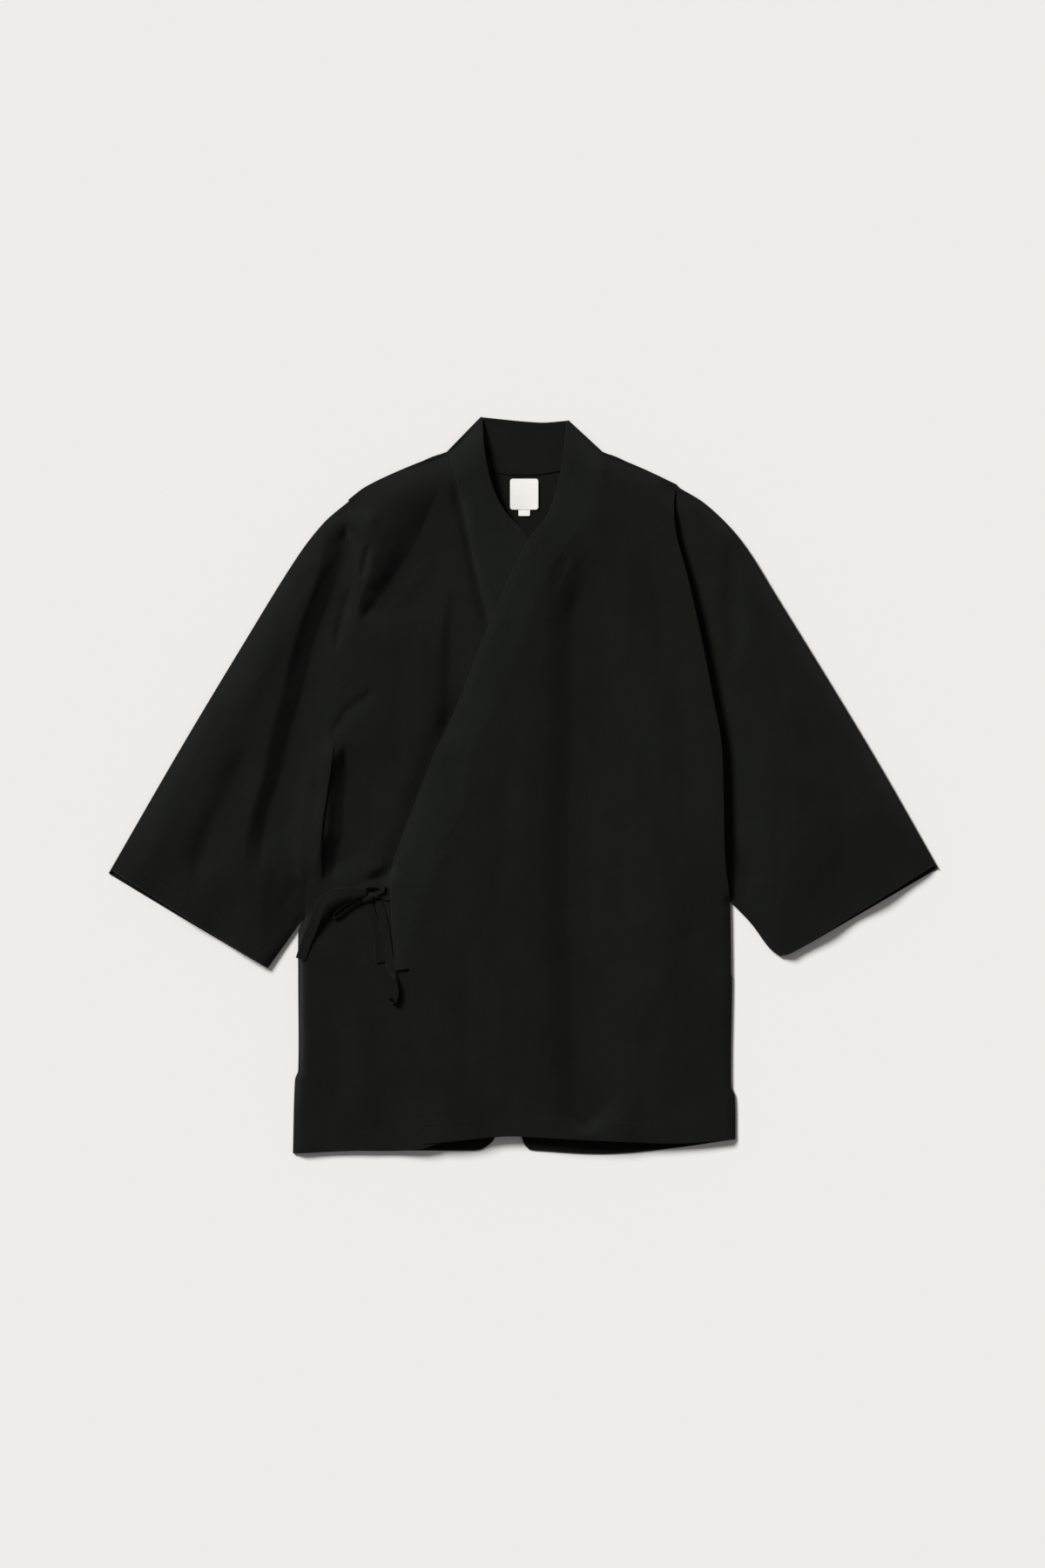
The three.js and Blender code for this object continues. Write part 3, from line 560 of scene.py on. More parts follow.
def new_object(name, vertices, faces, material, flats):
    """A smooth mesh from points in millimetres; flats are the places of the points on the flat cloth."""
    mesh = bpy.data.meshes.new(name)
    mesh.from_pydata((np.asarray(vertices) * MM).tolist(), [], [list(face) for face in faces])
    mesh.validate()
    mesh.polygons.foreach_set("use_smooth", [True] * len(mesh.polygons))
    corner = np.zeros(len(mesh.loops), int)
    mesh.loops.foreach_get("vertex_index", corner)
    layer = mesh.uv_layers.new(name="cut")
    layer.data.foreach_set("uv", (np.asarray(flats) * MM)[corner].astype(np.float32).ravel())
    mesh.materials.append(material)
    piece = bpy.data.objects.new(name, mesh)
    bpy.context.scene.collection.objects.link(piece)
    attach(piece, "root")
    return piece


def on_flat_cloth(vertices, grain):
    """Places on the flat cloth, whose grain is turned by some degrees."""
    turn = math.radians(grain)
    return vertices[:, :2] @ np.array([[math.cos(turn), -math.sin(turn)], [math.sin(turn), math.cos(turn)]])


def grid_faces(rows, columns, first=0, closed=False, flip=False):
    """Quads between the points of a grid; closed joins the last column to the first."""
    spans = columns if closed else columns - 1
    row, column = np.meshgrid(np.arange(rows - 1), np.arange(spans), indexing="ij")
    right = (column + 1) % columns
    quads = np.stack([row * columns + column, row * columns + right,
                      (row + 1) * columns + right, (row + 1) * columns + column], -1).reshape(-1, 4) + first
    return quads[:, ::-1] if flip else quads


def faces_between(loops):
    """Quads from each closed loop of points to the next."""
    return [np.stack([one, np.roll(one, -1), np.roll(two, -1), two], -1)
            for one, two in zip(loops, loops[1:])]


def border(rows, columns):
    """The indices of a grid's outer points in order, once round."""
    ids = np.arange(rows * columns).reshape(rows, columns)
    return np.concatenate([ids[0, :-1], ids[:-1, -1], ids[-1, :0:-1], ids[:0:-1, 0]])


def outward(points):
    """Unit directions away from a closed line of (x, y) points, in its plane."""
    along = np.roll(points, -1, 0) - np.roll(points, 1, 0)
    normal = np.stack([along[:, 1], -along[:, 0]], -1)
    normal /= np.maximum(np.linalg.norm(normal, axis=1), 1e-9)[:, None]
    area = (points[:, 0] * np.roll(points[:, 1], -1) - np.roll(points[:, 0], -1) * points[:, 1]).sum()
    return normal if area > 0 else -normal


def looks_down(corners):
    """Whether a face with these corners points down."""
    a, b, c = corners[:3]
    return np.cross(b - a, c - a)[2] < 0


def shell(name, place, top, thick, material, grain=0.0, turned=None):
    """A sheet of cloth over a grid of places, with rounded edges.

    place is (rows, columns, 2), top and thick are (rows, columns). turned, of the same shape, is 1 where
    the edge is turned down to the floor, as at a closed seam or fold.
    """
    rows, columns = top.shape
    upper = np.dstack([place, top]).reshape(-1, 3)
    lower = np.dstack([place, top - thick]).reshape(-1, 3)
    count = len(upper)
    rim = border(rows, columns)
    out = outward(place.reshape(-1, 2)[rim])
    high, low = upper[rim, 2], lower[rim, 2]
    down = np.zeros(len(rim)) if turned is None else turned.ravel()[rim]
    base = lerp(low, np.minimum(low, RIM_FLOOR), down)
    middle, radius = (high + base) / 2, (high - base) / 2
    rings = []
    for angle in RIM_ANGLES:
        bulge = np.cos(angle) * np.minimum(radius, RIM_BULGE)
        flat = upper[rim, :2] + out * bulge[:, None]
        rings.append(np.column_stack([flat, middle + np.sin(angle) * radius]))
    vertices = np.vstack([upper, lower, *rings])
    ring_ids = [2 * count + k * len(rim) + np.arange(len(rim)) for k in range(len(rings))]
    faces = np.vstack([grid_faces(rows, columns, flip=True), grid_faces(rows, columns, count),
                       *faces_between([rim, *ring_ids, rim + count])])
    if looks_down(vertices[faces[0]]):
        faces = faces[:, ::-1]
    return new_object(name, vertices, faces, material, on_flat_cloth(vertices, grain))


def share_steps(length, step, ease=0.5):
    """Shares from 0 to 1, about a step apart in the middle and closer towards the ends."""
    t = np.linspace(0, 1, max(4, round(length / step)))
    eased = t - ease * np.sin(2 * np.pi * t) / (2 * np.pi)
    narrow = NARROW_STEP / length
    return np.concatenate([[0, narrow], eased[1:-1], [1 - narrow, 1]])


def grid(at, us, vs):
    """The places over a grid of shares, together and as x and y."""
    place = at(*np.meshgrid(us, vs))
    return place, place[..., 0], place[..., 1]


HEM_WIDTH, HEM_BLEND = 22, 0.8


def hemmed(x, y, line):
    """The thickness of the cloth, which is doubled by the hem along a line."""
    distance, _, _ = nearest(line, x, y)
    return lerp(HEM_SHELL, SHELL, smoothstep(distance, HEM_WIDTH - HEM_BLEND, HEM_WIDTH + HEM_BLEND))


# Panels
# About how wide and how long they are, for the count of their points
FRONT_SPANS = {"right": (300, 760), "left": (320, 760)}
BACK_SPANS = (235, 740)
BAND_WIDE, BAND_LONG = 41, 640
COLLAR_WIDE, COLLAR_LONG = 166, 50
# How far down a panel's side its first line ends and the next one begins
BAND_SHARE = 0.74
ARMHOLE_SHARE = 0.62
# The left front lies lower and thinner towards its free edge
LEAD_REACH = 30
LEAD_PRESS = 1.4
LEAD_THICK = 0.6


def band_seam(seam_points, lead_points, shift):
    lead = [seam_points[-1], *lead_points]
    return shifted(joined(curve(seam_points), curve(lead), BAND_SHARE), shift)


def side_seam(side, armhole, shift):
    below = [armhole[-1], *SIDE[side]]
    return shifted(joined(curve(armhole), curve(below), ARMHOLE_SHARE), shift)


def turned_along(shape, top=False, left=False, right=False):
    """1 on the sides of a grid that are turned down, and 0 elsewhere."""
    turned = np.zeros(shape)
    turned[0, :] = top
    turned[:, 0] = np.maximum(turned[:, 0], left)
    turned[:, -1] = np.maximum(turned[:, -1], right)
    return turned


def front_right(material):
    armhole = [*ARMHOLE_SEAM["right"][:-1], *UNDER_CORNER]
    at = plan(side_seam("right", armhole, GAP / 2), band_seam(UNDER_SEAM, UNDER_LEAD, -GAP / 2),
              curve(SHOULDER["right"][::-1]), curve(UNDER_HEM))
    place, x, y = grid(at, *[share_steps(span, STEP) for span in FRONT_SPANS["right"]])
    turned = turned_along(x.shape, top=True, left=True)
    turned[y[:, 0] > SIDE["right"][0][1], 0] = 0
    return shell("front_right_cloth", place, under_front(x, y) + CLOTH, hemmed(x, y, UNDER_HEM), material,
                 turned=turned)


def front_left(material):
    at = plan(band_seam(OVER_SEAM, OVER_LEAD, GAP / 2), side_seam("left", ARMHOLE["left"], -GAP / 2),
              curve(SHOULDER["left"]), curve(OVER_HEM))
    place, x, y = grid(at, *[share_steps(span, STEP) for span in FRONT_SPANS["left"]])
    turned = turned_along(x.shape, top=True, right=True)
    turned[y[:, -1] > SIDE["left"][0][1], -1] = 0
    at_lead = 1 - smoothstep(nearest(OVER_LEAD, x, y)[0], 0, LEAD_REACH)
    top = left_front_over(x, y) + CLOTH - LEAD_PRESS * at_lead
    thick = lerp(hemmed(x, y, OVER_HEM), LEAD_THICK, at_lead)
    return shell("front_left_cloth", place, top, thick, material, turned=turned)


BAND_PROUD = 0.8  # how far a neckband stands above the front that it is sewn to
BAND_ROUNDING = 3.2  # how far from its seam it has mostly risen
BAND_SEAM_DIP = 0.15
BAND_EDGE_DROP, BAND_EDGE_WIDTH = 0.7, 7  # how far its free edge is pressed down, and within what distance
BAND_GRAIN = 24
PUCKER_HIGH, PUCKER_SIZE = 0.16, 11
BAND_STEP, BAND_EASE = 1.7, 0.7


def band_top(x, y, under, seam, edge):
    """The top of a neckband, which is rounded at its seam and pressed at its free edge."""
    from_seam, from_edge = nearest(seam, x, y)[0], nearest(edge, x, y)[0]
    proud = BAND_PROUD * (1 - np.exp(-from_seam / BAND_ROUNDING)) - BAND_SEAM_DIP
    pressed = BAND_EDGE_DROP * (1 - smoothstep(from_edge, 0, BAND_EDGE_WIDTH))
    puckers = PUCKER_HIGH * ripple(x, y, PUCKER_SIZE, 3.3) * smoothstep(from_seam, 0, 3)
    return under(x, y) + CLOTH + proud - pressed + puckers


def band(name, left_points, right_points, under, seam_side, material):
    left, right = curve(left_points), curve(right_points)
    at = plan(left, right, *[curve([left(np.array(end)), right(np.array(end))]) for end in (0, 1)])
    place, x, y = grid(at, share_steps(BAND_WIDE, BAND_STEP, BAND_EASE), share_steps(BAND_LONG, STEP))
    seam, edge = (right_points, left_points) if seam_side == "right" else (left_points, right_points)
    thick = np.full(x.shape, CLOTH + BAND_PROUD)
    return shell(name, place, band_top(x, y, under, seam, edge), thick, material,
                 turned=turned_along(x.shape, top=True), grain=BAND_GRAIN)


BACK_INSET, BACK_TOP_INSET = 2.0, 0.6  # how far it keeps inside its outline at the sides and at the top
BACK_UNEVEN, BACK_LIFT_MOST = 0.35, 3.4
BACK_CENTRE = [(-7, 100), (-12, -200)]


def back(side, material):
    centre = curve([BACK_NECK_MIDDLE, *BACK_CENTRE, *VENT[side]])
    armhole = ARMHOLE_SEAM[side]
    outer = side_seam(side, armhole, -OUT[side] * BACK_INSET)
    neck = [point for point in BACK_NECK if point[0] * OUT[side] >= 0]
    if side == "left":
        edges, along_top = (centre, outer), [*neck[:-1], *SHOULDER[side]]
    else:
        edges, along_top = (outer, centre), [*SHOULDER[side][::-1][:-1], *neck]
    along_top = [(x, y - BACK_TOP_INSET) for x, y in along_top]
    at = plan(*edges, curve(along_top), curve(BACK_HEM[side]))
    place, x, y = grid(at, *[share_steps(span, HIDDEN_STEP) for span in BACK_SPANS])
    inward = roll(x, y)
    uneven = BACK_UNEVEN * (ripple(x, y, 60, 7.7) + 0.3) * inward
    lift = np.clip(back_lift(x, y) * inward + uneven, 0, BACK_LIFT_MOST)
    thick = hemmed(x, y, BACK_HEM[side])
    return shell(f"back_{side}_cloth", place, lift + thick, thick, material)


COLLAR_INSET, COLLAR_INSET_FROM = 1.6, (40, 90)  # how far its ends keep inside the bands, and from where on
COLLAR_HIGH, COLLAR_UNEVEN = 1.75, 0.12
COLLAR_STEP = 2.6
# The layers turned in at its seam and its top: how high, and where they end
SEAM_LAYERS, SEAM_LAYERS_END = 0.35, (6, 9)
TOP_LAYERS, TOP_LAYERS_END = 0.25, (3, 6)


def collar_back(material):
    top_points = [COLLAR_TOP["right"], COLLAR_DIP, COLLAR_TOP["left"]]
    at = plan(curve([COLLAR_TOP["right"], NECK["right"]]), curve([COLLAR_TOP["left"], NECK["left"]]),
              curve(top_points), curve(BACK_NECK))
    place, x, y = grid(at, share_steps(COLLAR_WIDE, COLLAR_STEP),
                       share_steps(COLLAR_LONG, BAND_STEP, BAND_EASE))
    place[..., 0] = x - COLLAR_INSET * np.sign(x) * smoothstep(np.abs(x), *COLLAR_INSET_FROM)
    layers = SEAM_LAYERS * (1 - smoothstep(nearest(BACK_NECK, x, y)[0], *SEAM_LAYERS_END))
    layers += TOP_LAYERS * (1 - smoothstep(nearest(top_points, x, y)[0], *TOP_LAYERS_END))
    top = COLLAR_HIGH + layers + COLLAR_UNEVEN * ripple(x, y, 12, 2.2)
    return shell("collar_back_cloth", place, top, top - RIM_FLOOR, material)


# Sleeves
CUFF_INSET = 0.01  # share of its length by which a sleeve's upper side stops short of its lower one
SLEEVE_SPAN = 330  # about its length and its width, for the count of its points
SLEEVE_GRAIN = 31
FOLD_ROUNDING = 1.6  # how much of the width the rounded fold and seam take
FOLD_ANGLES = np.radians([55, 20, -20, -55])
FOLD_SHARES = np.linspace(0.15, 0.85, len(FOLD_ANGLES))
END_SHARES = (0.2, 0.5, 0.8)  # of the points across the rounded ends, from the outer skin to the inner
# The lower side rests on the floor and lifts off it only unevenly: how high, how wide the lumps are, the
# most, and within what distance of the cuff it lifts less
LIFT_HIGH, LIFT_SIZE, LIFT_MOST, LIFT_FROM_CUFF = 0.9, 55, 2, 40
HOLLOW = 0.4  # the least room between a sleeve's two sides


def rounded_fold(edge, top, low):
    """Points round a fold from the top skin's edge to the lower one's, as far out as the edge."""
    arcs = []
    for angle in FOLD_ANGLES:
        flat = lerp(lerp(top[:, :2], low[:, :2], (1 - np.sin(angle)) / 2), edge, np.cos(angle))
        arcs.append(np.column_stack([flat, lerp(low[:, 2], top[:, 2], (1 + np.sin(angle)) / 2)]))
    return np.stack(arcs, 1)


def straight_across(first, last):
    return lerp(first[:, None], last[:, None], FOLD_SHARES[None, :, None])


def rounded_end(outer, inner, way):
    """Rings of points from the end of the outer skin to that of the inner one, which bulge the given way."""
    rings = []
    for share in END_SHARES:
        bulge = math.sin(math.pi * share) * np.linalg.norm(outer - inner, axis=1)[:, None] / 2
        ring = lerp(outer, inner, share)
        ring[:, :2] += way * bulge
        rings.append(ring)
    return rings


def sleeve_skins(side):
    """A sleeve's outer and inner skin as grids of points, and the direction in which its cuff opens."""
    fold, seam, cuff = curve(SLEEVE_FOLD[side]), curve(SLEEVE_SEAM[side]), curve(CUFF[side])
    upper_end = curve(ARMHOLE[side] if side == "right" else ARMHOLE_SEAM[side])
    upper = plan(upper_end, cuff, fold, seam)
    lower = plan(curve(ARMHOLE_SEAM[side]), cuff, fold, seam)
    along = share_steps(SLEEVE_SPAN, STEP, 0.35)
    across = share_steps(SLEEVE_SPAN, STEP, 0.6)[2:-2]
    u, v = np.meshgrid(along, across, indexing="ij")
    edge = FOLD_ROUNDING / lerp(runs(np.array(ARMHOLE[side]))[-1], runs(np.array(CUFF[side]))[-1], u)
    squeezed = lerp(edge, 1 - edge, v)
    top_at, low_at = upper(u * (1 - CUFF_INSET), squeezed), lower(u, squeezed)
    top = sleeve_over(side, top_at[..., 0], top_at[..., 1]) + CLOTH
    thick = hemmed(top_at[..., 0], top_at[..., 1], CUFF[side])
    x, y = low_at[..., 0], low_at[..., 1]
    inward = roll(x, y) * smoothstep(nearest(CUFF[side], x, y)[0], 0, LIFT_FROM_CUFF)
    lift = np.clip(LIFT_HIGH * inward * (ripple(x, y, LIFT_SIZE, 4.4) + 0.2), 0, LIFT_MOST)
    lift = np.minimum(lift, np.maximum(0, top - 2 * thick - HOLLOW))

    upper_skin, lower_skin = np.dstack([top_at, top]), np.dstack([low_at, lift])
    fold_arc = rounded_fold(upper(along, 0 * along), upper_skin[:, 0], lower_skin[:, 0])
    seam_arc = rounded_fold(upper(along, 0 * along + 1), upper_skin[:, -1], lower_skin[:, -1])
    outer = np.concatenate([upper_skin, seam_arc, lower_skin[:, ::-1], fold_arc[:, ::-1]], 1)
    through = np.dstack([0 * thick, 0 * thick, thick])
    inner_top, inner_low = upper_skin - through, lower_skin + through
    inner = np.concatenate([inner_top, straight_across(inner_top[:, -1], inner_low[:, -1]),
                            inner_low[:, ::-1], straight_across(inner_low[:, 0], inner_top[:, 0])], 1)
    opens = cuff(np.array(0.5)) - upper_end(np.array(0.5))
    return outer, inner, opens / np.linalg.norm(opens)


def sleeve(side, material):
    outer, inner, opens = sleeve_skins(side)
    rows, columns = outer.shape[:2]
    count = rows * columns
    skins = np.vstack([outer.reshape(-1, 3), inner.reshape(-1, 3)])
    faces = [grid_faces(rows, columns, closed=True),
             grid_faces(rows, columns, count, closed=True, flip=True)]
    rings = []
    for end, sign in ((0, -1), (rows - 1, 1)):
        last = end * columns + np.arange(columns)
        first = 2 * count + len(rings) * columns
        rings.extend(rounded_end(skins[last], skins[last + count], sign * opens))
        ring_ids = [first + k * columns + np.arange(columns) for k in range(len(END_SHARES))]
        for quads in faces_between([last, *ring_ids, last + count]):
            faces.append(quads if sign < 0 else quads[:, ::-1])
    vertices = np.vstack([skins, *rings])
    faces = np.vstack(faces)
    if OUT[side] < 0:
        faces = faces[:, ::-1]
    return new_object(f"sleeve_{side}_cloth", vertices, faces, material,
                      on_flat_cloth(vertices, SLEEVE_GRAIN * OUT[side]))


# Ties
# Rows of (x, y, lift above the cloth, lean, share of the tie's width): a lean of 0 is flat, 1 is on edge
SIDE_STRAP = [
    (-238.5, -187, 0.6, 0, 1.1), (-232, -168, 1.2, 0, 1.15), (-225.5, -153, 3.8, 0, 1.15),
    (-220, -138, 7.5, -0.05, 1.15), (-214, -125, 10, -0.1, 1.1), (-203, -117.5, 11, -0.1, 1.1),
    (-191, -115, 11, -0.08, 1.05), (-179, -115, 9, -0.06, 0.9), (-168, -115.5, 6.5, 0, 0.7),
]
SIDE_LOOP = [
    (-171, -121, 1, -0.6, 0.5), (-183, -126, 0.5, -0.66, 0.48), (-194, -132.5, 0.5, -0.7, 0.48),
    (-201, -138.5, 0.5, -0.8, 0.46), (-203.5, -143, 0.5, -1, 0.42), (-199.5, -142.5, 0.5, -1.25, 0.42),
    (-189, -135, 0.5, -1.34, 0.44), (-179, -128.5, 0.5, -1.34, 0.46), (-170, -124, 0.6, -1.3, 0.46),
]
SIDE_TAIL = [
    (-165, -125, 0.5, -0.16, 0.7), (-162.6, -134, 0.5, -0.18, 0.85), (-158.9, -149.5, 0.5, -0.18, 1),
    (-154.6, -170.1, 0.5, -0.14, 1), (-152.8, -190.8, 0.5, -0.06, 1),
]
FRONT_STRAP = [
    (-139, -119.5, 0.8, 0, 1), (-147, -119, 1.0, 0, 1), (-151, -118, 1.4, 0, 0.9), (-158, -117, 2.2, 0, 0.7),
]
FRONT_LOOP = [
    (-177, -111.5, 3.4, -0.1, 0.5), (-170, -108, 4.6, -0.16, 0.72), (-161.5, -106.4, 5.4, -0.17, 0.78),
    (-153.6, -108, 5.4, -0.14, 0.7), (-150.2, -112.6, 5, -0.05, 0.5), (-154.5, -116.2, 4.6, 0, 0.36),
    (-161, -116.8, 4.4, 0, 0.32), (-169, -116.4, 3.8, 0, 0.34),
]
FRONT_TAIL = [
    (-155, -125, 0.5, -0.1, 0.7), (-152.3, -134, 0.5, -0.1, 0.9), (-149, -149.5, 0.5, -0.05, 0.95),
    (-146, -170.1, 0.5, 0, 1), (-143, -188.9, 0.5, 0, 1), (-139.5, -200, 0.6, -0.35, 0.9),
    (-136, -208, 0.6, -0.75, 0.85), (-134.5, -216, 0.5, -0.9, 0.75), (-133.8, -223, 0.5, -0.96, 0.65),
    (-134.8, -230, 0.5, -1, 0.6), (-138.5, -234.5, 0.5, -1, 0.6), (-142.8, -232, 0.5, -1, 0.6),
    (-142.9, -228, 0.5, -1, 0.55),
]
# A section of the folded tape: places across, and how much of the half thickness each has
TAPE = [(-0.5, 0.0), (-0.485, 0.8), (-0.42, 1.0), (-0.33, 0.78), (0, 0.86), (0.33, 0.78), (0.42, 1.0),
        (0.485, 0.8), (0.5, 0.0)]
TAPE_THICK = 0.8
TAPE_SPAN = 7  # points between two rows of a table
TAPE_REST = 5  # points over which the cloth below is evened out
END_SHARE, END_LONG = 0.9, 0.5  # how much of the section is left at a turned-in end, and how long that is

KNOT_AT = (-163.5, -121)
KNOT_SPIN = np.array(Matrix.Rotation(0.2, 3, "Z")).T
KNOT_LONG, KNOT_WIDE, KNOT_HIGH = 13, 8, 5.6
KNOT_LIFT = 0.6
WRAP_POINTS, WRAP_WIDTH = 28, 0.92  # to a turn, and as a share of the tie's width
CORE_RINGS, CORE_POINTS = 9, 20
CORE_INSET = 0.9  # how far the core keeps inside the wrap
CORE_END = 0.05
CORE_GATHER, CORE_GATHERS = 0.07, 5


def cloth_top(x, y):
    return under_front(x, y) + CLOTH


def unit(vectors):
    return vectors / np.linalg.norm(vectors, axis=1)[:, None]


def tape_rings(places, wides, sides, ups):
    """Closed sections of tape along a line of places."""
    section = np.array([*TAPE, *[(across, -high) for across, high in TAPE[-2:0:-1]]])
    across, high = section[:, 0][None, :, None], section[:, 1][None, :, None]
    return (places[:, None] + sides[:, None] * across * wides[:, None, None]
            + ups[:, None] * high * TAPE_THICK / 2)


def ring_mesh(rings):
    """Vertices and faces of a closed tube through rings, with a flat face at each end."""
    rows, columns = rings.shape[:2]
    faces = grid_faces(rows, columns, closed=True).tolist()
    faces.append(list(range(columns))[::-1])
    faces.append([(rows - 1) * columns + k for k in range(columns)])
    return rings.reshape(-1, 3), faces


def shut_ends(rings):
    """Both ends drawn in over a short way, as a turned-in end is."""
    start, end = [lerp(ring.mean(0), ring, END_SHARE) + unit(ring - beside) * END_LONG
                  for ring, beside in ((rings[0], rings[1]), (rings[-1], rings[-2]))]
    return np.concatenate([start[None], rings, end[None]])


def tape(rows):
    """A stretch of tape that lies on the cloth, as the rows give it."""
    dense = spline([row[:4] for row in rows], TAPE_SPAN)
    widths = spline([(row[4], 0) for row in rows], TAPE_SPAN)[:, 0] * TIE_WIDTH
    ahead = unit(np.gradient(dense[:, :2], axis=0))
    flat = np.stack([-ahead[:, 1], ahead[:, 0]], -1)
    angle = dense[:, 3] * np.pi / 2
    sides = np.column_stack([flat * np.cos(angle)[:, None], np.sin(angle)])
    ups = np.column_stack([-flat * np.sin(angle)[:, None], np.cos(angle)])
    places = np.column_stack([dense[:, :2], np.zeros(len(dense))])
    rings = tape_rings(places, widths, sides, ups)
    ground = cloth_top(rings[..., 0], rings[..., 1]).max(1)
    padded = np.pad(ground, TAPE_REST // 2, mode="edge")
    evened = np.convolve(padded, np.ones(TAPE_REST) / TAPE_REST, mode="valid")
    rings[..., 2] += (evened + dense[:, 2] - rings[..., 2].min(1))[:, None]
    return ring_mesh(shut_ends(rings))


def knot_middle():
    height = cloth_top(*np.array(KNOT_AT)[:, None])[0] + KNOT_LIFT + KNOT_HIGH / 2
    return np.array([*KNOT_AT, height])


def knot_wrap(start, turns, shift, lean):
    """Tape wound round the knot, from an angle in turns, shifted along it and leaning."""
    count = round(WRAP_POINTS * turns)
    angle = 2 * np.pi * (start + np.linspace(0, turns, count))
    drift = shift + lean * np.linspace(-0.5, 0.5, count)
    places = np.column_stack([drift, np.cos(angle) * KNOT_WIDE / 2, np.sin(angle) * KNOT_HIGH / 2])
    ups = unit(np.column_stack([np.zeros(count), np.cos(angle) / KNOT_WIDE, np.sin(angle) / KNOT_HIGH]))
    sides = np.cross(unit(np.gradient(places, axis=0)), ups)
    widths = np.full(count, TIE_WIDTH * WRAP_WIDTH)
    rings = tape_rings(places @ KNOT_SPIN + knot_middle(), widths, sides @ KNOT_SPIN, ups @ KNOT_SPIN)
    return ring_mesh(shut_ends(rings))


def knot_core(shift):
    """What fills the knot under its wrapping: a plump gathered end."""
    angles = np.linspace(0, 2 * np.pi, CORE_POINTS, endpoint=False)
    rings = []
    for share in np.linspace(-1, 1, CORE_RINGS):
        size = math.sqrt(max(CORE_END, 1 - share * share))
        gather = (1 + CORE_GATHER * np.sin(CORE_GATHERS * angles + 2 * share)) * size
        rings.append(np.column_stack([
            np.full(CORE_POINTS, shift + share * KNOT_LONG / 2),
            np.cos(angles) * gather * (KNOT_WIDE / 2 - CORE_INSET),
            np.sin(angles) * gather * (KNOT_HIGH / 2 - CORE_INSET),
        ]))
    return ring_mesh(np.array(rings) @ KNOT_SPIN + knot_middle())


def joined_piece(name, parts, material):
    """One object of several meshes."""
    vertices, faces = [], []
    for made, quads in parts:
        first = len(vertices)
        vertices.extend(made)
        faces.extend([[first + k for k in face] for face in quads])
    vertices = np.array(vertices)
    return new_object(name, vertices, faces, material, vertices[:, :2])


def tie_side(material):
    parts = [tape(SIDE_STRAP), tape(SIDE_LOOP), tape(SIDE_TAIL), knot_core(-3.5),
             knot_wrap(0.1, 1.15, -2.2, 3)]
    return joined_piece("tie_side_cloth", parts, material)


def tie_front(material):
    parts = [tape(FRONT_STRAP), tape(FRONT_LOOP), tape(FRONT_TAIL), knot_core(3.5)]
    return joined_piece("tie_front_cloth", parts, material)


# Label
LABEL_TOP = BACK_NECK_MIDDLE[1] - LABEL_DROP
LABEL_FOOT = LABEL_TOP - LABEL_HEIGHT
LABEL_THICK = 0.5
LABEL_FACE, LABEL_ROUNDING = 2.55, 2.6
LABEL_CURL, LABEL_BULGE = 0.5, 0.25
TAB_FACE, TAB_ROUNDING = 2.35, 1.2
TAB_TUCK, TAB_MORE = 1.2, 1.5  # how far it starts above the label's foot, and its hidden length
TAB_DROP = 0.35
TAB_SUNK, TAB_SUNK_TO, TAB_SUNK_FROM = 0.55, -1.5, 0.2  # how far it lies deeper under the label, and where


def rounded_patch(top_y, width, height, radius):
    """A grid over a rectangle with rounded corners."""
    down = np.unique(np.concatenate([np.linspace(0, radius, 8), np.linspace(radius, height - radius, 14),
                                     np.linspace(height - radius, height, 8)]))
    short = np.maximum(0, radius - np.minimum(down, height - down))
    half = width / 2 - radius + np.sqrt(np.maximum(0, radius**2 - short**2))
    across = np.linspace(-1, 1, 21)
    x = LABEL_MIDDLE + half[:, None] * across[None, :]
    y = np.repeat((top_y - down)[:, None], len(across), 1)
    return np.dstack([x, y]), x, y


def label(material):
    place, x, y = rounded_patch(LABEL_TOP, LABEL_WIDTH, LABEL_HEIGHT, LABEL_ROUNDING)
    aside = np.abs(x - LABEL_MIDDLE) / (LABEL_WIDTH / 2)
    low = (LABEL_TOP - y) / LABEL_HEIGHT
    top = LABEL_FACE + LABEL_CURL * aside**2 * low + LABEL_BULGE * np.sin(3 * low) * (1 + 0.3 * aside)
    return shell("label_cloth", place, top, np.full(x.shape, LABEL_THICK), material)


def size_tab(material):
    place, x, y = rounded_patch(LABEL_FOOT + TAB_TUCK, TAB_WIDTH, TAB_HEIGHT + TAB_MORE, TAB_ROUNDING)
    top = TAB_FACE + TAB_DROP * (LABEL_FOOT - y) / TAB_HEIGHT
    top -= TAB_SUNK * smoothstep(y, LABEL_FOOT + TAB_SUNK_TO, LABEL_FOOT + TAB_SUNK_FROM)
    return shell("size_tab_cloth", place, top, np.full(x.shape, LABEL_THICK), material)


# Stitches
STITCH_PITCH, STITCH_LONG, STITCH_WIDE, STITCH_HIGH = 4.0, 2.8, 0.5, 0.14
STITCH_SKIP = 6  # how far the first and the last one keep from the line's ends
STITCH_SECTIONS = (-0.55, 0.55)  # where its two middle sections are
STITCH_END_DEPTH = 0.3 * STITCH_HIGH
# Across and up at each corner of a middle section
STITCH_SECTION = [(-0.5, 0.0), (0.0, 1.0), (0.5, 0.0), (0.0, -0.6)]
HEM_STITCH_INSET = 20
BAND_STITCH_INSET = 2.4
EDGE_STITCH_INSET = 2.6
LABEL_STITCH_INSET = 1.6
NUDGE = 0.002  # share of a line's length over which its direction is taken


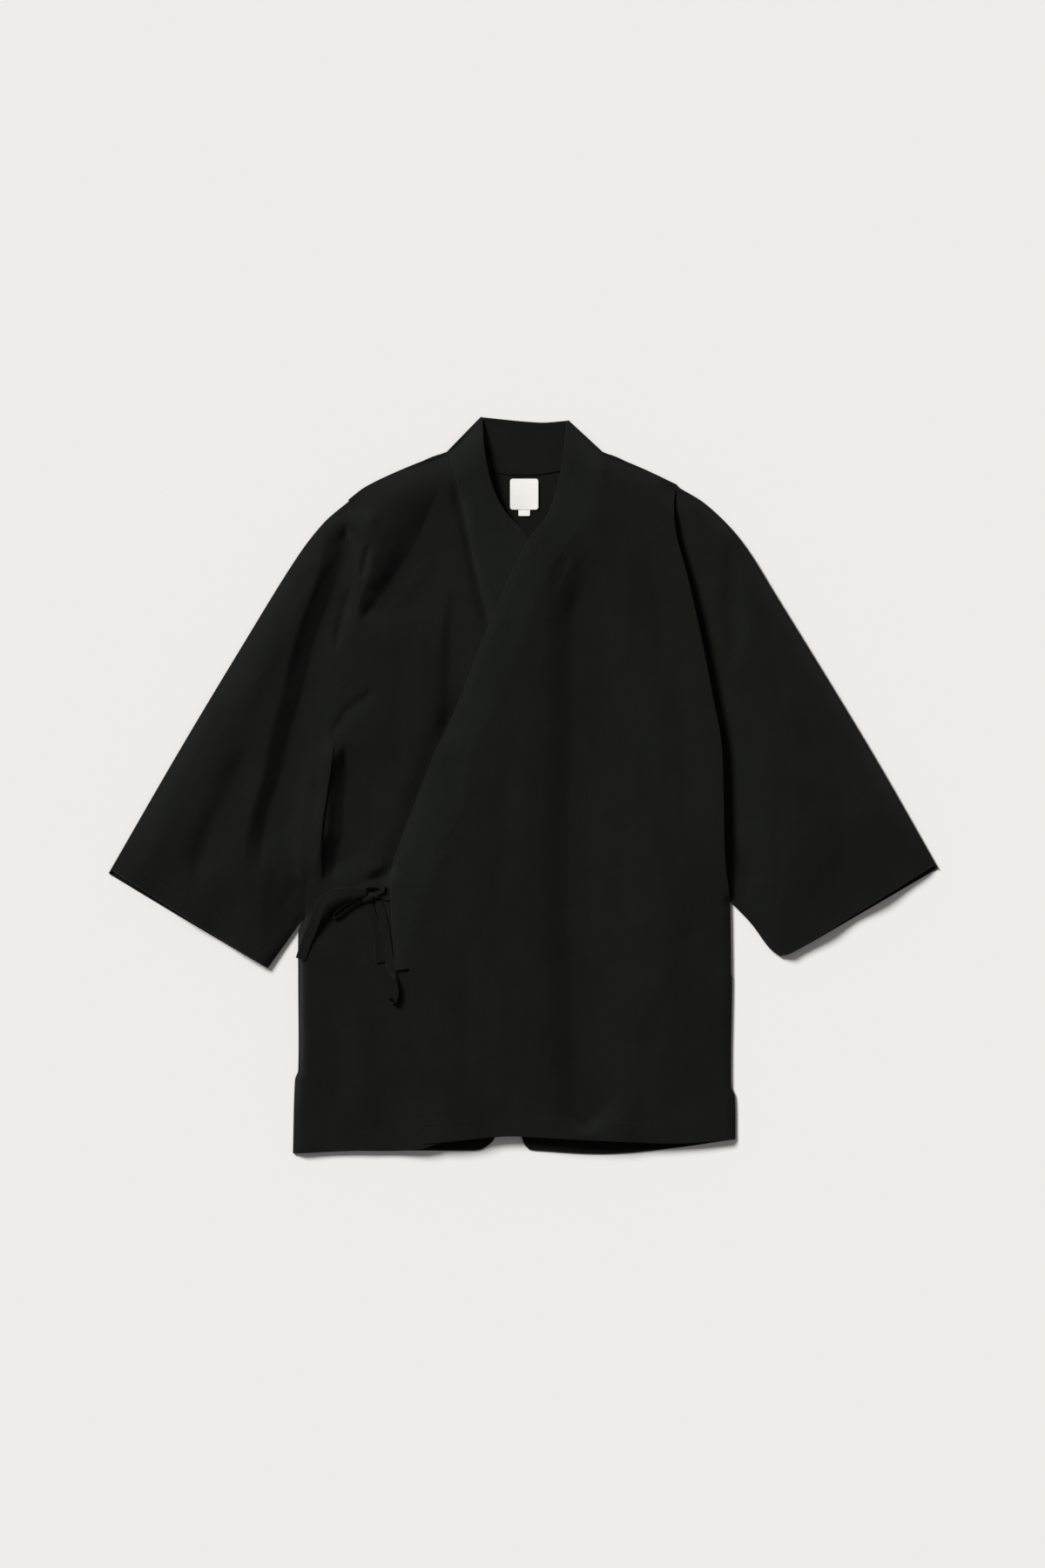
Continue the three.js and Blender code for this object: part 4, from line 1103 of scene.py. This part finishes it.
def stitch_row(line, inset, top):
    """Stitches in a row on a surface, beside a line and on its right where inset is positive."""
    at = curve(line)
    length = runs(at(np.linspace(0, 1, 200)))[-1]
    shares = np.arange(STITCH_SKIP, length - STITCH_SKIP, STITCH_PITCH) / length  # of each stitch's middle
    ahead = unit(at(np.clip(shares + NUDGE, 0, 1)) - at(np.clip(shares - NUDGE, 0, 1)))
    aside = np.stack([ahead[:, 1], -ahead[:, 0]], -1)
    middle = at(shares) + aside * inset
    half = ahead * STITCH_LONG / 2
    heights = [top(*(middle + half * end).T) for end in (-1, *STITCH_SECTIONS, 1)]
    vertices, faces = [], []
    for k, centre in enumerate(middle):
        start = len(vertices)
        near, far, end = start + 1, start + 5, start + 9
        vertices.append([*(centre - half[k]), heights[0][k] - STITCH_END_DEPTH])
        for place, height in zip(STITCH_SECTIONS, heights[1:3]):
            for across, up in STITCH_SECTION:
                flat = centre + half[k] * place + aside[k] * across * STITCH_WIDE
                vertices.append([*flat, height[k] + up * STITCH_HIGH / 2])
        vertices.append([*(centre + half[k]), heights[3][k] - STITCH_END_DEPTH])
        for one in range(4):
            two = (one + 1) % 4
            faces.append([start, near + two, near + one])
            faces.append([near + one, near + two, far + two, far + one])
            faces.append([end, far + one, far + two])
    return vertices, faces


def over_band(x, y):
    return band_top(x, y, over_under, OVER_SEAM, OVER_EDGE)


def under_band(x, y):
    return band_top(x, y, under_front, UNDER_SEAM, UNDER_EDGE)


def front_top(x, y):
    return left_front_over(x, y) + CLOTH


def sleeve_top(side):
    return lambda x, y: sleeve_over(side, x, y) + CLOTH


def label_face(x, y):
    return LABEL_FACE + 0 * x


def all_stitches(material, label_thread):
    half = LABEL_WIDTH / 2 - 2
    label_top = [(LABEL_MIDDLE - half, LABEL_TOP), (LABEL_MIDDLE + half, LABEL_TOP)]
    black_rows = {
        "front_right": [(UNDER_HEM[:4], -HEM_STITCH_INSET, cloth_top)],
        "front_left": [(OVER_HEM, -HEM_STITCH_INSET, front_top)],
        "band_right": [(UNDER_SEAM, -BAND_STITCH_INSET, under_band),
                       (UNDER_EDGE, EDGE_STITCH_INSET, under_band)],
        "band_left": [(OVER_SEAM, BAND_STITCH_INSET, over_band),
                      (OVER_EDGE, -EDGE_STITCH_INSET, over_band)],
        "cuff_right": [(CUFF["right"], -HEM_STITCH_INSET, sleeve_top("right"))],
        "cuff_left": [(CUFF["left"], HEM_STITCH_INSET, sleeve_top("left"))],
    }
    for name, rows in black_rows.items():
        joined_piece(f"stitches_{name}", [stitch_row(*row) for row in rows], material)
    joined_piece("stitches_label", [stitch_row(label_top, LABEL_STITCH_INSET, label_face)], label_thread)


# Materials
# Each cloth as (width of a thread in mm, strength of its bumps, roughness, sheen, height of its slubs)
COTTON = (0.42, 0.5, 0.85, 0.12, 0.9)
SEWING = (0.3, 0.4, 0.7, 0.1, 0.4)
LABEL_WEAVE = (0.3, 0.35, 0.6, 0.1, 0.4)
BUMP_HIGH = 0.12  # mm
THREAD_WOBBLE = 0.7
# Noise on the cloth, as (scale, detail, stretch)
WOBBLE_NOISE = (0.35, 2)
SLUB_NOISES = [(1, 2, (1.1, 0.055, 1)), (1, 2, (0.05, 1.0, 1))]
NUB_NOISE, NUB_SHARE = (0.6, 3), 0.6
PATCH_NOISE, PATCH_SHARE = (0.018, 4), 0.6
SLUB_TONE, WEAVE_TONE = 0.45, 0.08
TONE_DARK, TONE_LIGHT = 0.45, 1.05  # the sums of tone at which the cloth is dark and light
FLOOR_COLOUR = (0.80, 0.785, 0.755, 1)


def node(tree, kind, **settings):
    made = tree.nodes.new(kind)
    for name, value in settings.items():
        setattr(made, name, value)
    return made


def maths(tree, operation, *values):
    made = node(tree, "ShaderNodeMath", operation=operation)
    for socket, value in zip(made.inputs, values):
        if isinstance(value, (int, float)):
            socket.default_value = value
        else:
            tree.links.new(value, socket)
    return made.outputs[0]


def noise_at(tree, vector, scale, detail, stretch=(1, 1, 1)):
    mapping = node(tree, "ShaderNodeMapping")
    mapping.inputs["Scale"].default_value = stretch
    tree.links.new(vector, mapping.inputs["Vector"])
    made = node(tree, "ShaderNodeTexNoise")
    made.inputs["Scale"].default_value = scale
    made.inputs["Detail"].default_value = detail
    tree.links.new(mapping.outputs[0], made.inputs["Vector"])
    return made.outputs["Fac"]


def new_material(name):
    material = bpy.data.materials.new(name)
    material.use_nodes = True
    return material, material.node_tree, material.node_tree.nodes["Principled BSDF"].inputs


def cloth_material(name, dark, light, thread, bump, roughness, sheen, slub):
    """Plain woven cloth. dark and light are its two tones."""
    material, tree, inputs = new_material(name)
    scaled = node(tree, "ShaderNodeVectorMath", operation="SCALE")
    scaled.inputs["Scale"].default_value = 1 / MM
    tree.links.new(node(tree, "ShaderNodeUVMap", uv_map="cut").outputs["UV"], scaled.inputs[0])
    flat = scaled.outputs[0]
    split = node(tree, "ShaderNodeSeparateXYZ")
    tree.links.new(flat, split.inputs[0])
    wobble = noise_at(tree, flat, *WOBBLE_NOISE)
    threads = []
    for place in split.outputs[:2]:
        wobbled = maths(tree, "MULTIPLY_ADD", wobble, THREAD_WOBBLE, place)
        threads.append(maths(tree, "SINE", maths(tree, "MULTIPLY", wobbled, math.pi / thread)))
    weave = maths(tree, "MULTIPLY", *threads)
    slubs = maths(tree, "ADD", *[noise_at(tree, flat, *settings) for settings in SLUB_NOISES])
    nubs = noise_at(tree, flat, *NUB_NOISE)
    nubbed = maths(tree, "MULTIPLY_ADD", nubs, slub * NUB_SHARE, weave)
    bumped = node(tree, "ShaderNodeBump")
    bumped.inputs["Strength"].default_value = bump
    bumped.inputs["Distance"].default_value = BUMP_HIGH * MM
    tree.links.new(maths(tree, "MULTIPLY_ADD", slubs, slub, nubbed), bumped.inputs["Height"])
    tree.links.new(bumped.outputs[0], inputs["Normal"])
    patches = maths(tree, "MULTIPLY", noise_at(tree, flat, *PATCH_NOISE), PATCH_SHARE)
    mottle = maths(tree, "MULTIPLY_ADD", slubs, SLUB_TONE, patches)
    ramp = node(tree, "ShaderNodeMapRange")
    ramp.inputs["From Min"].default_value = TONE_DARK
    ramp.inputs["From Max"].default_value = TONE_LIGHT
    tree.links.new(maths(tree, "MULTIPLY_ADD", weave, WEAVE_TONE, mottle), ramp.inputs["Value"])
    mix = node(tree, "ShaderNodeMix", data_type="RGBA")
    mix.inputs["A"].default_value = (*dark, 1)
    mix.inputs["B"].default_value = (*light, 1)
    tree.links.new(ramp.outputs[0], mix.inputs["Factor"])
    tree.links.new(mix.outputs["Result"], inputs["Base Color"])
    inputs["Roughness"].default_value = roughness
    inputs["Specular IOR Level"].default_value = 0.06
    inputs["Sheen Weight"].default_value = sheen
    inputs["Sheen Roughness"].default_value = 0.45
    return material


def floor_material():
    material, _, inputs = new_material("pale_floor")
    inputs["Base Color"].default_value = FLOOR_COLOUR
    inputs["Roughness"].default_value = 1
    inputs["Specular IOR Level"].default_value = 0
    return material


# Stage
FLOOR_HALF, FLOOR_HEIGHT = 9.0, -0.0002  # metres
SKY_STRENGTH = 0.2
SUN_STRENGTH, SUN_SPREAD = 4.8, 19
SUN_FROM = (-0.7, 0.72, 0.7)


def stage():
    mesh = bpy.data.meshes.new("floor")
    corners = [(-1, -1), (1, -1), (1, 1), (-1, 1)]
    vertices = [(x * FLOOR_HALF, y * FLOOR_HALF, FLOOR_HEIGHT) for x, y in corners]
    mesh.from_pydata(vertices, [], [(0, 1, 2, 3)])
    mesh.materials.append(floor_material())
    floor = bpy.data.objects.new("floor", mesh)
    bpy.context.scene.collection.objects.link(floor)

    world = bpy.data.worlds.new("studio")
    bpy.context.scene.world = world
    world.use_nodes = True
    background = world.node_tree.nodes["Background"]
    background.inputs["Color"].default_value = (1, 1, 1, 1)
    background.inputs["Strength"].default_value = SKY_STRENGTH

    sun = bpy.data.lights.new("key", "SUN")
    sun.energy = SUN_STRENGTH
    sun.angle = math.radians(SUN_SPREAD)
    key = bpy.data.objects.new("key", sun)
    key.rotation_euler = Vector(SUN_FROM).to_track_quat("Z", "Y").to_euler()
    bpy.context.scene.collection.objects.link(key)

    scene = bpy.context.scene
    scene.view_settings.view_transform = "Standard"
    scene.view_settings.look = "None"


PHOTO_WIDE, PHOTO_HIGH = 1200, 1800
MM_PER_PIXEL = 0.94
ORIGIN_PIXEL = (600, 901)
LENS, SENSOR = 85, 36


def camera():
    """Straight down, from where the photograph's frame is seen."""
    data = bpy.data.cameras.new("camera")
    data.lens = LENS
    data.sensor_width = SENSOR
    seen = PHOTO_HIGH * MM_PER_PIXEL * MM
    eye = bpy.data.objects.new("camera", data)
    eye.location = ((PHOTO_WIDE / 2 - ORIGIN_PIXEL[0]) * MM_PER_PIXEL * MM,
                    (ORIGIN_PIXEL[1] - PHOTO_HIGH / 2) * MM_PER_PIXEL * MM,
                    seen * LENS / SENSOR)
    bpy.context.scene.collection.objects.link(eye)
    bpy.context.scene.camera = eye


camera()
stage()
black = cloth_material("black_cotton", (0.0037, 0.0043, 0.0034), (0.0070, 0.0078, 0.0064), *COTTON)
# Painted sheen: the bands get a lighter copy of the black cotton, which stands for the extra light that
# their turned grain catches
band_painted_sheen = cloth_material("band_cotton_painted_sheen", (0.0047, 0.0055, 0.0043), (0.0089, 0.0099, 0.0082), *COTTON)
thread = cloth_material("black_thread", (0.0042, 0.0049, 0.0039), (0.0068, 0.0076, 0.0063), *SEWING)
white = cloth_material("white_label", (0.76, 0.75, 0.71), (0.92, 0.91, 0.87), *LABEL_WEAVE)

pieces = {
    "back_right": back("right", black),
    "back_left": back("left", black),
    "collar_back": collar_back(black),
    "sleeve_right": sleeve("right", black),
    "sleeve_left": sleeve("left", black),
    "front_right": front_right(black),
    "collar_right": band("collar_right_cloth", UNDER_SEAM, UNDER_EDGE, under_front, "left", band_painted_sheen),
    "front_left": front_left(black),
    "collar_left": band("collar_left_cloth", OVER_EDGE, OVER_SEAM, over_under, "right", band_painted_sheen),
    "label": label(white),
    "size_tab": size_tab(white),
    "tie_side": tie_side(black),
    "tie_front": tie_front(black),
}
for name, piece in pieces.items():
    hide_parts(name)
all_stitches(thread, white)
